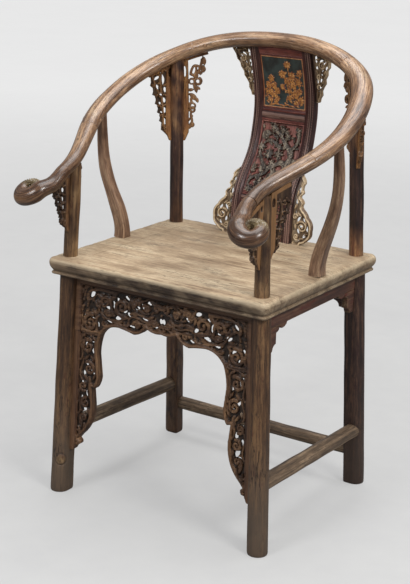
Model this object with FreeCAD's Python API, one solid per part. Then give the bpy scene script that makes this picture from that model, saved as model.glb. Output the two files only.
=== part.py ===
import FreeCAD, Part
import math
import os

# Horseshoe back armchair, millimetres, +Z up, the chair faces -Y.
# Each piece of timber is one solid. Pieces are made in the chair's own place, with the seat top
# at seat_height, and all are carried together at the end so that the origin lies on the floor
# under the middle of the chair.

os.makedirs("parts", exist_ok=True)
V = FreeCAD.Vector

# Clearances
fit_gap = 0.15  # round a tenon in its mortise
scribe_gap = 0.25  # between a piece and the curved neighbour that it is scribed to
overrun = 5.0  # how far a cutting tool runs past the wood

# Seat
seat_height = 510.0
seat_thickness = 40.0
seat_side_overhang = 32.0
seat_front_overhang = 37.0
seat_rear_overhang = 38.0
seat_corner_radius = 14.0
seat_edge_depth = 11.0
seat_rail_width = 64.0
seat_panel_thickness = 12.0
seat_tongue_length = 8.0
seat_tongue_thickness = 5.0
batten_width = 30.0
batten_thickness = 22.0
batten_half_spacing = 88.0
batten_tenon_length = 10.0
batten_tenon_width = 14.0
batten_tenon_height = 10.0
# inset from the widest line as a share of the edge's depth, drop as a share of the thickness
seat_edge_shares = [
    (1.00, 0.00),
    (0.42, 0.06),
    (0.08, 0.19),
    (0.00, 0.33),
    (0.10, 0.52),
    (0.72, 0.77),
    (0.72, 0.82),
    (0.44, 0.86),
    (0.44, 0.95),
    (0.60, 1.00),
]

# Legs and the posts that they become above the seat
front_foot_half_spacing = 244.8
front_foot_y = -161.0
front_post_share = 0.938  # where its axis meets the crest rail, as a share of half the rail
rear_foot_half_spacing = 238.5
rear_foot_y = 247.0
rear_post_share = 0.341
front_foot_radius = 20.5
rear_foot_radius = 19.8
leg_shoulder_radius = 18.4
foot_bevel = 2.5
leg_edge_bevel_share = 0.16  # wear on the leg's inner edge, as a share of its radius
leg_flats = 18  # narrow flats that make up the round three quarters of a leg
post_radius = 14.5
post_tenon_half = 7.0
post_tenon_length = 8.0  # past the middle of the crest rail

# Stretchers
side_stretcher_front_height = 139.0
side_stretcher_rear_height = 123.0
side_stretcher_radius = 15.8
rear_stretcher_height = 74.5
rear_stretcher_radius = 14.3
stretcher_tenon_half = 7.0
stretcher_tenon_length = 9.0  # past the middle of the leg

# Front apron
apron_thickness = 16.0
apron_setback = 8.0  # from the legs' axes back to the middle of the board
apron_foot_share = 0.202  # height of its foot as a share of the height of the seat frame
apron_seam_share = 0.694  # height of the seam between the boards, from foot to seat frame
apron_opening_share = 0.666  # half width of the arch as a share of the legs' half spacing
eyelet_length = 22.0
eyelet_width = 11.0
# lower edge from the middle to the leg: half-width share, share of the height between
# the apron's foot and the seat frame, and the bulge of the stretch that follows
arch_shares = [
    (0.000, 0.783, -0.10),
    (0.221, 0.796, -0.11),
    (0.405, 0.747, 0.02),
    (0.644, 0.764, 0.13),
    (0.899, 0.703, 0.05),
    (0.951, 0.583, 0.00),
    (0.917, 0.459, -0.05),
    (0.963, 0.400, 0.00),
    (0.981, 0.389, 0.00),
    (1.030, 0.395, 0.00),
    (1.006, 0.293, -0.05),
    (1.055, 0.180, -0.05),
    (1.196, 0.097, 0.00),
    (1.239, 0.073, 0.00),
    (1.208, 0.059, 0.00),
    (1.211, 0.044, 0.00),
    (1.245, 0.033, 0.00),
    (1.276, 0.029, 0.00),
    (1.300, 0.008, 0.00),
    (1.315, 0.000, 0.00),
]
# pierced eyelets: half-width share, height share, length share, turn in degrees
eyelet_shares = [
    (0.07, 0.845, 0.85, 20.0),
    (0.21, 0.915, 0.95, -25.0),
    (0.24, 0.845, 0.65, 70.0),
    (0.37, 0.900, 0.80, 60.0),
    (0.44, 0.810, 0.95, 12.0),
    (0.52, 0.915, 1.00, -15.0),
    (0.61, 0.835, 0.80, 55.0),
    (0.74, 0.905, 1.00, 25.0),
    (0.82, 0.820, 0.90, -50.0),
    (0.96, 0.915, 0.90, 80.0),
    (0.99, 0.790, 0.85, 20.0),
    (1.13, 0.940, 0.80, 45.0),
    (1.12, 0.830, 0.80, -60.0),
    (1.10, 0.710, 0.85, 70.0),
    (1.10, 0.590, 1.15, 75.0),
    (1.08, 0.490, 0.90, -60.0),
    (1.12, 0.400, 0.85, 80.0),
    (1.14, 0.300, 1.00, 70.0),
    (1.12, 0.225, 0.80, -70.0),
    (1.20, 0.155, 1.00, 60.0),
]

# Side and rear aprons with their brackets
plain_apron_thickness = 15.0
plain_apron_depth = 28.0
bracket_width = 27.0
bracket_drop = 48.0
bracket_round = 13.0
cusp_length = 22.0
cusp_drop = 7.0
cusp_offset = 34.0
# bulges of the cusp and of the bracket's two rounded corners, as shares of their stretches
cusp_bulge_share = -0.15
bracket_throat_bulge_share = -0.2
bracket_foot_bulge_share = 0.2

# Splat
splat_half_width = 73.0
splat_stile_width = 21.0
splat_thickness = 20.0
splat_rail_thickness = 16.0
splat_panel_thickness = 10.0
splat_tongue_length = 4.0
splat_foot_inset = 44.0  # from the seat's back edge to the middle of the splat's foot
splat_head_inset = 1.7  # of its head from the middle of the crest rail
splat_arc_accuracy = 0.8  # the S curve is laid out with arcs as close as this
splat_tenon_length = 16.0
splat_tenon_width = 12.0
splat_tenon_thickness = 9.0
splat_upper_rail_height = 27.0
splat_lower_rail_height = 18.0
# feet of the cross rails, as shares of the height between the seat and the crest rail
splat_top_rail_share = 0.906
splat_upper_rail_share = 0.578
splat_lower_rail_share = 0.180
# height share between seat and crest rail, share of the way from the foot's y to the head's
splat_curve_shares = [
    (0.000, 0.000),
    (0.110, 0.024),
    (0.230, 0.210),
    (0.340, 0.734),
    (0.430, 1.226),
    (0.530, 1.484),
    (0.660, 1.613),
    (0.830, 1.387),
    (1.000, 1.000),
]

# Splat wings: outward share of the wing's width, height share of the wing
wing_thickness = 11.0
top_wing_width = 48.0
top_wing_foot_share = 0.695
bottom_wing_width = 52.0
bottom_wing_top_share = 0.340
top_wing_shares = [
    (0.00, 0.00),
    (0.17, 0.02),
    (0.20, 0.12),
    (0.34, 0.20),
    (0.36, 0.32),
    (0.54, 0.40),
    (0.58, 0.55),
    (0.74, 0.64),
    (0.80, 0.80),
    (1.00, 1.00),
    (0.00, 1.00),
]
bottom_wing_shares = [
    (0.00, 0.00),
    (0.56, 0.00),
    (0.86, 0.07),
    (1.00, 0.17),
    (0.99, 0.30),
    (0.82, 0.43),
    (0.52, 0.53),
    (0.34, 0.60),
    (0.24, 0.66),
    (0.38, 0.71),
    (0.50, 0.78),
    (0.42, 0.90),
    (0.20, 0.95),
    (0.10, 1.00),
    (0.00, 1.00),
]
top_wing_eyelet_shares = [
    (0.30, 0.62, 0.85, 80.0),
    (0.60, 0.80, 0.75, 50.0),
]
bottom_wing_eyelet_shares = [
    (0.32, 0.12, 0.85, 30.0),
    (0.66, 0.24, 1.00, 80.0),
    (0.30, 0.32, 1.00, 60.0),
]

# Spandrels of the posts: outward share of the width, drop share of the height
spandrel_thickness = 11.0
rear_spandrel_width = 62.0
rear_spandrel_drop_share = 0.503  # drop as a share of the height between seat and rail
front_spandrel_width = 72.0
front_spandrel_drop_share = 0.734
arm_spandrel_width = 56.0
arm_spandrel_drop_share = 0.653
spandrel_shares = [
    (0.00, 0.00),
    (0.00, 1.00),
    (0.10, 1.00),
    (0.36, 0.93),
    (0.50, 0.86),
    (0.42, 0.78),
    (0.56, 0.70),
    (0.60, 0.60),
    (0.56, 0.53),
    (0.72, 0.46),
    (0.74, 0.36),
    (0.86, 0.30),
]
spandrel_eyelet_shares = [
    (0.47, 0.82, 0.70, 88.0),
    (0.50, 0.60, 0.90, 80.0),
    (0.56, 0.40, 0.95, 75.0),
    (0.70, 0.24, 0.85, 60.0),
]
spandrel_eyelet_scale_share = 0.80

# Curved side posts: height above the seat and outward swing
side_post_foot_inset = 21.0  # from the seat's side edge
side_post_foot_y = 39.0
side_post_share = 0.662  # where its head meets the crest rail, as a share of half the rail
side_post_foot_half_thickness = 14.0
side_post_top_half_thickness = 8.2
side_post_tenon_half = 5.0
side_post_tenon_length = 7.75  # past the middle of the crest rail
side_post_stations = 12
side_post_taper_share = 0.7  # power of the length share: below one, the post thins early
# how much of the half thickness is planed off the corners, at the foot and at the head
side_post_foot_corner_share = 0.35
side_post_head_corner_share = 0.55
# height share, outward swing share, share of the way from the foot's y to the head's
side_post_shares = [
    (0.000, 0.000, 0.00),
    (0.085, 0.020, 0.00),
    (0.160, 0.130, 0.03),
    (0.330, 0.530, 0.25),
    (0.480, 0.850, 0.45),
    (0.600, 1.000, 0.55),
    (0.740, 1.055, 0.66),
    (1.000, 1.000, 1.00),
]

# Crest rail: a horseshoe that falls from the back to the hands
rail_half_spread = 278.5
rail_back_y = 267.0
rail_front_y = -178.0
rail_back_height = 921.5
rail_fall_share = 0.561  # fall to the hands, as a share of the height above the seat
rail_half_width = 21.5
rail_half_height = 15.5
rail_station = 30.0  # spacing of the sections that the rail is shaped through
ring_flats = 16  # narrow flats round the rail and the grips
# sideways share of the spread, share of the depth from front to back, share of the fall
rail_shares = [
    (0.000, 1.000, 0.000),
    (0.417, 0.956, 0.037),
    (0.610, 0.912, 0.097),
    (0.779, 0.849, 0.186),
    (0.901, 0.751, 0.288),
    (1.000, 0.525, 0.519),
    (0.987, 0.406, 0.636),
    (0.925, 0.288, 0.747),
    (0.838, 0.172, 0.846),
    (0.772, 0.059, 0.943),
    (0.765, 0.000, 1.000),
]

# Lap joints of the crest rail, at these shares of half the rail from the middle of the back
back_lap_share = 0.244
arm_lap_share = 0.735
lap_length = 56.0
hook_length = 6.0
hook_height = 6.0
hook_half_width = 6.0
wedge_thick_end = 9.0
wedge_thin_end = 7.0

# Hand grips: the rail turns outward round an eye
grip_eye_outward = 35.0
grip_eye_forward = 62.0
grip_turn_radius = 25.0
grip_end_radius = 10.5
grip_turn_degrees = 300.0
grip_stations = 12
grip_half_width = 18.0
grip_half_height = 16.5
grip_end_half_width = 9.5
grip_end_half_height = 12.5
grip_tenon_half = 6.5
grip_tenon_length = 14.0
grip_split_share = 0.6  # the winding is carved in two runs that meet here

# Worked out from the sizes above
seat_underside = seat_height - seat_thickness
quarter_turn_degrees = 90.0
three_quarter_turn_degrees = 270.0

pieces = {}


def frame_at(origin, along, up, across):
    """A placement whose X, Y and Z run along, up and across."""
    matrix = FreeCAD.Matrix(
        along.x, up.x, across.x, origin.x,
        along.y, up.y, across.y, origin.y,
        along.z, up.z, across.z, origin.z,
        0, 0, 0, 1,
    )
    return FreeCAD.Placement(matrix)


def block(low, high, place=None):
    """A box between two corners, in the place's own axes."""
    size = high - low
    box = Part.makeBox(size.x, size.y, size.z, low)
    if place:
        box.Placement = place.multiply(box.Placement)
    return box


def bulged_edges(points):
    """Edges through (x, z, bulge) points: a bulge bends the stretch that follows, as a share of it."""
    edges = []
    for (x0, z0, bulge), (x1, z1, _) in zip(points, points[1:]):
        start = V(x0, 0, z0)
        end = V(x1, 0, z1)
        if bulge:
            side = V(-(z1 - z0), 0, x1 - x0)
            middle = (start + end) / 2 + side * bulge
            edges.append(Part.Arc(start, middle, end).toShape())
        else:
            edges.append(Part.LineSegment(start, end).toShape())
    return edges


def board(edges, thickness):
    """A board of that outline in the XZ plane, centred on y = 0."""
    face = Part.Face(Part.Wire(edges))
    face.translate(V(0, -thickness / 2, 0))
    return face.extrude(V(0, thickness, 0))


def polygon_board(points, thickness):
    closed = [(x, z, 0) for x, z in points + points[:1]]
    return board(bulged_edges(closed), thickness)


def eyelet(x, z, length, width, degrees, thickness):
    """The tool for a pierced eyelet: pointed at both ends, like a willow leaf."""
    half = length / 2
    leaf = [
        (-half, 0),
        (-half / 2, -width / 2),
        (half / 2, -width / 2),
        (half, 0),
        (half / 2, width / 2),
        (-half / 2, width / 2),
    ]
    tool = polygon_board(leaf, thickness + 2 * overrun)
    tool.rotate(V(0, 0, 0), V(0, 1, 0), degrees)
    tool.translate(V(x, 0, z))
    return tool


def blend(start, end, share):
    """The value that lies that share of the way from start to end."""
    return start + (end - start) * share


def biggest(shape):
    return max(shape.Solids, key=lambda solid: solid.Volume)


def mirrored(shape):
    return shape.mirror(V(0, 0, 0), V(1, 0, 0))


def both_sides(name, right_piece):
    pieces[name.format("right")] = right_piece
    pieces[name.format("left")] = mirrored(right_piece)


# Crest rail geometry, needed first because posts, splat and spandrels are scribed to it
def rail_curve():
    depth = rail_back_y - rail_front_y
    fall = rail_fall_share * (rail_back_height - seat_height)
    right = []
    for sideways_share, depth_share, fall_share in rail_shares:
        right.append(
            V(
                sideways_share * rail_half_spread,
                rail_front_y + depth_share * depth,
                rail_back_height - fall_share * fall,
            )
        )
    left = [V(-p.x, p.y, p.z) for p in reversed(right[1:])]
    curve = Part.BSplineCurve()
    curve.interpolate(left + right)
    return curve.toShape()


rail_edge = rail_curve()
rail_half_length = rail_edge.Length / 2
back_lap = back_lap_share * rail_half_length
arm_lap = arm_lap_share * rail_half_length


def rail_frame(distance):
    """The rail's place at a distance from the middle of the back, positive to the right."""
    parameter = rail_edge.getParameterByLength(rail_half_length + distance)
    along = rail_edge.tangentAt(parameter)
    along.normalize()
    across = along.cross(V(0, 0, 1))
    across.normalize()
    up = across.cross(along)
    return rail_edge.valueAt(parameter), along, up, across


def ring(origin, up, across, half_width, half_height):
    """The corners of an oval drawn with narrow flats, as a spokeshave leaves it."""
    corners = []
    for k in range(ring_flats):
        turn = 2 * math.pi * (k + 0.5) / ring_flats
        corners.append(
            origin + across * (half_width * math.cos(turn)) + up * (half_height * math.sin(turn))
        )
    return corners


def carved(rings):
    """A solid through rings with equal numbers of corners, with flat facets between them."""
    faces = [Part.Face(Part.makePolygon(end + end[:1])) for end in (rings[0], rings[-1])]
    for near, far in zip(rings, rings[1:]):
        for k in range(len(near)):
            faces.append(Part.Face(Part.makePolygon([near[k - 1], near[k], far[k], near[k - 1]])))
            faces.append(Part.Face(Part.makePolygon([near[k - 1], far[k], far[k - 1], near[k - 1]])))
    solid = Part.Solid(Part.Shell(faces))
    if solid.Volume < 0:
        solid.reverse()
    return solid


def rail_length(start, end, grow=0):
    """The rail between two distances, grown all round for a scribing tool."""
    count = math.ceil((end - start) / rail_station) + 1
    sections = []
    for k in range(count):
        origin, _, up, across = rail_frame(start + (end - start) * k / (count - 1))
        half_width = rail_half_width + grow
        half_height = rail_half_height + grow
        sections.append(ring(origin, up, across, half_width, half_height))
    return carved(sections)


rail_scribe = rail_length(0, rail_half_length, scribe_gap)
back_scribe = rail_length(-back_lap, back_lap, scribe_gap)


# Legs
def leg_head(kind):
    """Where the right-hand leg's axis meets the middle of the crest rail."""
    share = front_post_share if kind == "front" else rear_post_share
    return rail_frame(share * rail_half_length)[0]


def leg_axis(kind, height):
    """A point on the right-hand leg's axis at a height."""
    if kind == "front":
        foot = V(front_foot_half_spacing, front_foot_y, 0)
    else:
        foot = V(rear_foot_half_spacing, rear_foot_y, 0)
    head = leg_head(kind)
    return foot + (head - foot) * (height / head.z)


def leg_inward(kind):
    """Which way is inward along Y."""
    return 1 if kind == "front" else -1


def foot_radius(kind):
    return front_foot_radius if kind == "front" else rear_foot_radius


def leg_outline(kind, height, radius):
    """The corners of a leg's section: round outside, square towards the inside of the chair."""
    centre = leg_axis(kind, height)
    inward = leg_inward(kind)
    worn = 1 - leg_edge_bevel_share
    corners = [(1, worn), (worn, 1)]
    for k in range(leg_flats + 1):
        turn = math.radians(quarter_turn_degrees + three_quarter_turn_degrees * k / leg_flats)
        corners.append((math.cos(turn), math.sin(turn)))
    return [centre + V(-radius * x, inward * radius * y, 0) for x, y in corners]


def leg_lower(kind, grow=0):
    """From the floor to the seat frame, with the foot's edge worn off."""
    foot = foot_radius(kind) + grow
    outlines = [
        leg_outline(kind, 0, foot - foot_bevel),
        leg_outline(kind, foot_bevel, foot),
        leg_outline(kind, seat_underside, leg_shoulder_radius + grow),
    ]
    return Part.makeLoft([Part.makePolygon(o + o[:1]) for o in outlines], True, True)


def round_bar(start, end, radius):
    axis = end - start
    return Part.makeCylinder(radius, axis.Length, start, axis)


def square_bar(start, end, half):
    """A square tenon between two points, with one pair of sides upright or facing forwards."""
    along = end - start
    flat = abs(along.z) < along.Length / 2
    side = along.cross(V(0, 0, 1) if flat else V(0, 1, 0))
    side.normalize()
    up = along.cross(side)
    up.normalize()
    turns = ((-1, -1), (1, -1), (1, 1), (-1, 1))
    ends = [[point + (side * a + up * b) * half for a, b in turns] for point in (start, end)]
    return carved(ends).removeSplitter()


def post_upper(kind, grow=0):
    """The round post above the seat frame; its foot lies inside the leg."""
    start = leg_axis(kind, seat_underside - overrun)
    return round_bar(start, leg_head(kind), post_radius + grow)


def post_tenon(kind, grow=0):
    """The tenon at the post's head: it starts inside the post and ends inside the crest rail."""
    height = leg_head(kind).z
    foot = leg_axis(kind, height - 2 * rail_half_height)
    end = leg_axis(kind, height + post_tenon_length + grow)
    return square_bar(foot, end, post_tenon_half + grow)


def stretcher_ends():
    right_front = leg_axis("front", side_stretcher_front_height)
    right_rear = leg_axis("rear", side_stretcher_rear_height)
    back_right = leg_axis("rear", rear_stretcher_height)
    back_left = V(-back_right.x, back_right.y, back_right.z)
    return {
        "side": (right_front, right_rear, side_stretcher_radius),
        "rear": (back_left, back_right, rear_stretcher_radius),
    }


def stretcher_tenon(start, end, grow=0):
    """One square core through the bar, which stands out as a tenon past both leg axes."""
    along = end - start
    along.normalize()
    reach = stretcher_tenon_length + grow
    return square_bar(start - along * reach, end + along * reach, stretcher_tenon_half + grow)


def make_legs():
    side_start, side_end, _ = stretcher_ends()["side"]
    rear_start, rear_end, _ = stretcher_ends()["rear"]
    side_mortise = stretcher_tenon(side_start, side_end, fit_gap)
    rear_mortise = stretcher_tenon(rear_start, rear_end, fit_gap)
    for kind in ("front", "rear"):
        upper = post_upper(kind).cut(rail_scribe)
        leg = leg_lower(kind).fuse([biggest(upper), post_tenon(kind)])
        leg = leg.removeSplitter().cut(side_mortise)
        if kind == "rear":
            leg = leg.cut(rear_mortise)
        both_sides("leg_" + kind + "_{}", biggest(leg))


def make_stretchers():
    legs = [leg_lower(kind, scribe_gap) for kind in ("front", "rear")]
    legs_left = [mirrored(legs[1])]
    for name, (start, end, radius) in stretcher_ends().items():
        body = round_bar(start, end, radius).cut(legs + legs_left)
        piece = biggest(body).fuse(stretcher_tenon(start, end)).removeSplitter()
        if name == "side":
            both_sides("stretcher_{}", piece)
        else:
            pieces["stretcher_rear"] = piece


# Seat
seat_half_width = leg_axis("front", seat_height).x + seat_side_overhang


def seat_front_y():
    return leg_axis("front", seat_height).y - seat_front_overhang


def seat_back_y():
    return leg_axis("rear", seat_height).y + seat_rear_overhang


def rounded_outline(inset, height):
    """The seat's outline at a height, drawn in by the inset, with round corners."""
    right = seat_half_width - inset
    front = seat_front_y() + inset
    back = seat_back_y() - inset
    radius = seat_corner_radius - inset
    slant = radius * (1 - math.sqrt(0.5))
    corners = [(right, front, -1, 1), (right, back, -1, -1), (-right, back, 1, -1), (-right, front, 1, 1)]
    ends = []
    for x, y, sx, sy in corners:
        along_x = V(x + sx * radius, y, height)
        middle = V(x + sx * slant, y + sy * slant, height)
        along_y = V(x, y + sy * radius, height)
        ends.append((along_x, middle, along_y))
    edges = []
    for k in (0, 2):
        first = ends[k]
        second = ends[k + 1]
        opening = ends[(k + 2) % len(ends)]
        edges.append(Part.Arc(first[0], first[1], first[2]).toShape())
        edges.append(Part.LineSegment(first[2], second[2]).toShape())
        edges.append(Part.Arc(second[2], second[1], second[0]).toShape())
        edges.append(Part.LineSegment(second[0], opening[0]).toShape())
    return Part.Wire(edges)


def seat_opening():
    """Half width, front and back of the hole in the seat frame."""
    return (
        seat_half_width - seat_rail_width,
        seat_front_y() + seat_rail_width,
        seat_back_y() - seat_rail_width,
    )


def mitre_prism(corners):
    points = [V(x, y, seat_underside - overrun) for x, y in corners]
    face = Part.Face(Part.makePolygon(points + points[:1]))
    return face.extrude(V(0, 0, seat_thickness + 2 * overrun))


def make_seat():
    levels = []
    for inset_share, drop_share in seat_edge_shares:
        height = seat_height - drop_share * seat_thickness
        levels.append(rounded_outline(inset_share * seat_edge_depth, height))
    slab = Part.makeLoft(levels, True, True)
    half, front, back = seat_opening()
    slab = slab.cut(
        block(V(-half, front, seat_underside - overrun), V(half, back, seat_height + overrun))
    )
    tongue_top = seat_height - (seat_panel_thickness - seat_tongue_thickness) / 2
    tongue_foot = tongue_top - seat_tongue_thickness
    reach = seat_tongue_length
    groove = block(
        V(-half - reach, front - reach, tongue_foot - fit_gap),
        V(half + reach, back + reach, tongue_top + fit_gap),
    )
    slab = slab.cut(groove)
    posts = [post_upper(kind, fit_gap) for kind in ("front", "rear")]
    slab = slab.cut(posts + [mirrored(post) for post in posts] + seat_mortises())
    outer = seat_half_width
    y0 = seat_front_y()
    y1 = seat_back_y()
    cuts = {
        "seat_rail_front": [(-outer, y0), (outer, y0), (half, front), (-half, front)],
        "seat_rail_rear": [(-outer, y1), (outer, y1), (half, back), (-half, back)],
        "seat_rail_right": [(outer, y0), (outer, y1), (half, back), (half, front)],
        "seat_rail_left": [(-outer, y0), (-outer, y1), (-half, back), (-half, front)],
    }
    for name, corners in cuts.items():
        pieces[name] = biggest(slab.common(mitre_prism(corners)))
    panel = block(V(-half, front, seat_height - seat_panel_thickness), V(half, back, seat_height))
    slack = reach - fit_gap
    tongue = block(
        V(-half - slack, front - slack, tongue_foot), V(half + slack, back + slack, tongue_top)
    )
    pieces["seat_panel"] = biggest(panel.fuse(tongue).removeSplitter())
    for name, side in (("left", -1), ("right", 1)):
        pieces["seat_batten_" + name] = batten(side)


def batten_tenons(side, grow=0):
    """A bar that stands out of both ends of the batten as its tenons."""
    _, front, back = seat_opening()
    middle_x = side * batten_half_spacing
    middle_z = seat_height - seat_panel_thickness - batten_thickness / 2
    half_width = batten_tenon_width / 2 + grow
    half_height = batten_tenon_height / 2 + grow
    reach = batten_tenon_length + grow
    low = V(middle_x - half_width, front - reach, middle_z - half_height)
    high = V(middle_x + half_width, back + reach, middle_z + half_height)
    return block(low, high)


def batten(side):
    _, front, back = seat_opening()
    top = seat_height - seat_panel_thickness
    middle_x = side * batten_half_spacing
    low = V(middle_x - batten_width / 2, front, top - batten_thickness)
    high = V(middle_x + batten_width / 2, back, top)
    return block(low, high).fuse(batten_tenons(side)).removeSplitter()


def seat_mortises():
    tools = [batten_tenons(side, fit_gap) for side in (-1, 1)]
    tools += [stile_tenon(side, "foot", fit_gap) for side in (-1, 1)]
    tools += [side_post_tenon(side, "foot", fit_gap) for side in (-1, 1)]
    return tools


# Front apron
def apron_height(share):
    """A height between the apron's foot and the seat frame."""
    foot = apron_foot_share * seat_underside
    return foot + share * (seat_underside - foot)


def make_front_apron():
    opening = apron_opening_share * front_foot_half_spacing
    low = [(x * opening, apron_height(z), bulge) for x, z, bulge in arch_shares]
    leg_x = front_foot_half_spacing
    top = seat_underside + overrun
    right = bulged_edges(low + [(leg_x, apron_height(0), 0), (leg_x, top, 0), (0, top, 0)])
    left = [edge.mirror(V(0, 0, 0), V(1, 0, 0)) for edge in right]
    face_wire = Part.Wire(Part.__sortEdges__(right + left))
    face = Part.Face(face_wire)
    face.translate(V(0, -apron_thickness / 2, 0))
    arch = face.extrude(V(0, apron_thickness, 0))
    tools = []
    for x_share, z_share, length_share, degrees in eyelet_shares:
        length = eyelet_length * length_share
        z = apron_height(z_share)
        tool = eyelet(x_share * opening, z, length, eyelet_width, degrees, apron_thickness)
        tools += [tool, mirrored(tool)]
    arch = arch.cut(tools)
    at_seat = leg_axis("front", seat_underside)
    lean = math.degrees(math.atan2(at_seat.y - front_foot_y, seat_underside))
    arch.translate(V(0, at_seat.y + apron_setback, 0))
    arch.rotate(V(0, at_seat.y + apron_setback, seat_underside), V(1, 0, 0), -lean)
    leg = leg_lower("front", scribe_gap)
    half = seat_half_width
    above = block(V(-half, seat_front_y(), seat_underside), V(half, 0, seat_height))
    arch = biggest(arch.cut([leg, mirrored(leg), above]))
    front = seat_front_y()
    seam = apron_height(apron_seam_share)
    upper = block(V(-half, front, seam), V(half, 0, seat_height))
    pieces["front_apron_top"] = biggest(arch.common(upper))
    lower = block(V(0, front, 0), V(half, 0, seam))
    both_sides("front_apron_{}", biggest(arch.common(lower)))


# Plain aprons
def plain_apron(length):
    """A board along X with its top at z = 0: flat ends for the brackets, then a cusp each side."""
    half = length / 2
    depth = -plain_apron_depth
    cusp_start = half - cusp_offset - bracket_width
    right = [
        (0, depth, 0),
        (cusp_start - cusp_length, depth, 0),
        (cusp_start - cusp_length, depth - cusp_drop / 2, cusp_bulge_share),
        (cusp_start, depth - cusp_drop, 0),
        (cusp_start + cusp_drop / 2, depth, 0),
        (half, depth, 0),
        (half, 0, 0),
        (0, 0, 0),
    ]
    edges = bulged_edges(right)
    edges += [edge.mirror(V(0, 0, 0), V(1, 0, 0)) for edge in edges]
    face = Part.Face(Part.Wire(Part.__sortEdges__(edges)))
    face.translate(V(0, -plain_apron_thickness / 2, 0))
    return face.extrude(V(0, plain_apron_thickness, 0))


def bracket(length):
    """The bracket at the board's +X end: it hangs from the board and rounds off at its foot."""
    half = length / 2
    top = -plain_apron_depth
    foot = top - bracket_drop
    inner = half - leg_shoulder_radius - bracket_width
    outline = [
        (half, top, 0),
        (inner - bracket_round, top, bracket_throat_bulge_share),
        (inner, top - bracket_round, 0),
        (inner, foot + bracket_round, bracket_foot_bulge_share),
        (inner + bracket_round, foot, 0),
        (half, foot, 0),
        (half, top, 0),
    ]
    return board(bulged_edges(outline), plain_apron_thickness)


def make_plain_aprons():
    legs = [leg_lower(kind, scribe_gap) for kind in ("front", "rear")]
    legs += [mirrored(leg) for leg in legs]
    front = leg_axis("front", seat_underside)
    rear = leg_axis("rear", seat_underside)
    side_length = rear.y - front.y
    side_x = (front.x + rear.x) / 2
    side_y = (front.y + rear.y) / 2
    rear_length = 2 * rear.x

    def to_side(shape):
        shape.rotate(V(0, 0, 0), V(0, 0, 1), quarter_turn_degrees)
        shape.translate(V(side_x, side_y, seat_underside))
        return biggest(shape.cut(legs))

    def to_rear(shape):
        shape.translate(V(0, rear.y, seat_underside))
        return biggest(shape.cut(legs))

    both_sides("side_apron_{}", to_side(plain_apron(side_length)))
    both_sides("side_bracket_rear_{}", to_side(bracket(side_length)))
    both_sides("side_bracket_front_{}", to_side(mirrored(bracket(side_length))))
    pieces["rear_apron"] = to_rear(plain_apron(rear_length))
    both_sides("rear_bracket_{}", to_rear(bracket(rear_length)))


# Splat
def splat_height(share):
    """A height between the seat and the middle of the crest rail."""
    return seat_height + share * (rail_back_height - seat_height)


def splat_foot_y():
    return seat_back_y() - splat_foot_inset


def splat_head_y():
    return rail_back_y - splat_head_inset


def splat_curve(shift):
    """The splat's S curve in the YZ plane, moved back by the shift."""
    swing = splat_head_y() - splat_foot_y()
    points = []
    for height_share, swing_share in splat_curve_shares:
        y = splat_foot_y() + swing_share * swing + shift
        points.append(V(0, y, splat_height(height_share)))
    curve = Part.BSplineCurve()
    curve.interpolate(points)
    arcs = [arc.toShape() for arc in curve.toBiArcs(splat_arc_accuracy)]
    return Part.Wire(Part.__sortEdges__(arcs)), points[0], points[-1]


def splat_slab(x0, x1, thickness):
    """A sheet of that thickness bent to the S curve, between two x."""
    front, front_foot, front_head = splat_curve(-thickness / 2)
    back, back_foot, back_head = splat_curve(thickness / 2)
    foot = Part.LineSegment(front_foot, back_foot).toShape()
    head = Part.LineSegment(front_head, back_head).toShape()
    edges = Part.__sortEdges__(front.Edges + back.Edges + [foot, head])
    face = Part.Face(Part.Wire(edges))
    face.translate(V(x0, 0, 0))
    return face.extrude(V(x1 - x0, 0, 0))


def splat_band(x0, x1, z0, z1, thickness):
    low = V(x0, splat_foot_y() - seat_half_width, z0)
    window = block(low, V(x1, splat_foot_y() + seat_half_width, z1))
    return splat_slab(x0, x1, thickness).common(window)


def stile_tenon(side, end, grow=0):
    """The tenon at a stile's foot or head."""
    middle_x = side * (splat_half_width - splat_stile_width / 2)
    half_width = splat_tenon_width / 2 + grow
    half_thickness = splat_tenon_thickness / 2 + grow
    if end == "foot":
        y = splat_foot_y()
        z0 = seat_height - splat_tenon_length - grow
        z1 = seat_height + splat_tenon_length
    else:
        y = splat_head_y()
        z0 = rail_back_height - 2 * rail_half_height
        z1 = rail_back_height + grow
    low = V(middle_x - half_width, y - half_thickness, z0)
    return block(low, V(middle_x + half_width, y + half_thickness, z1))


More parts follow.
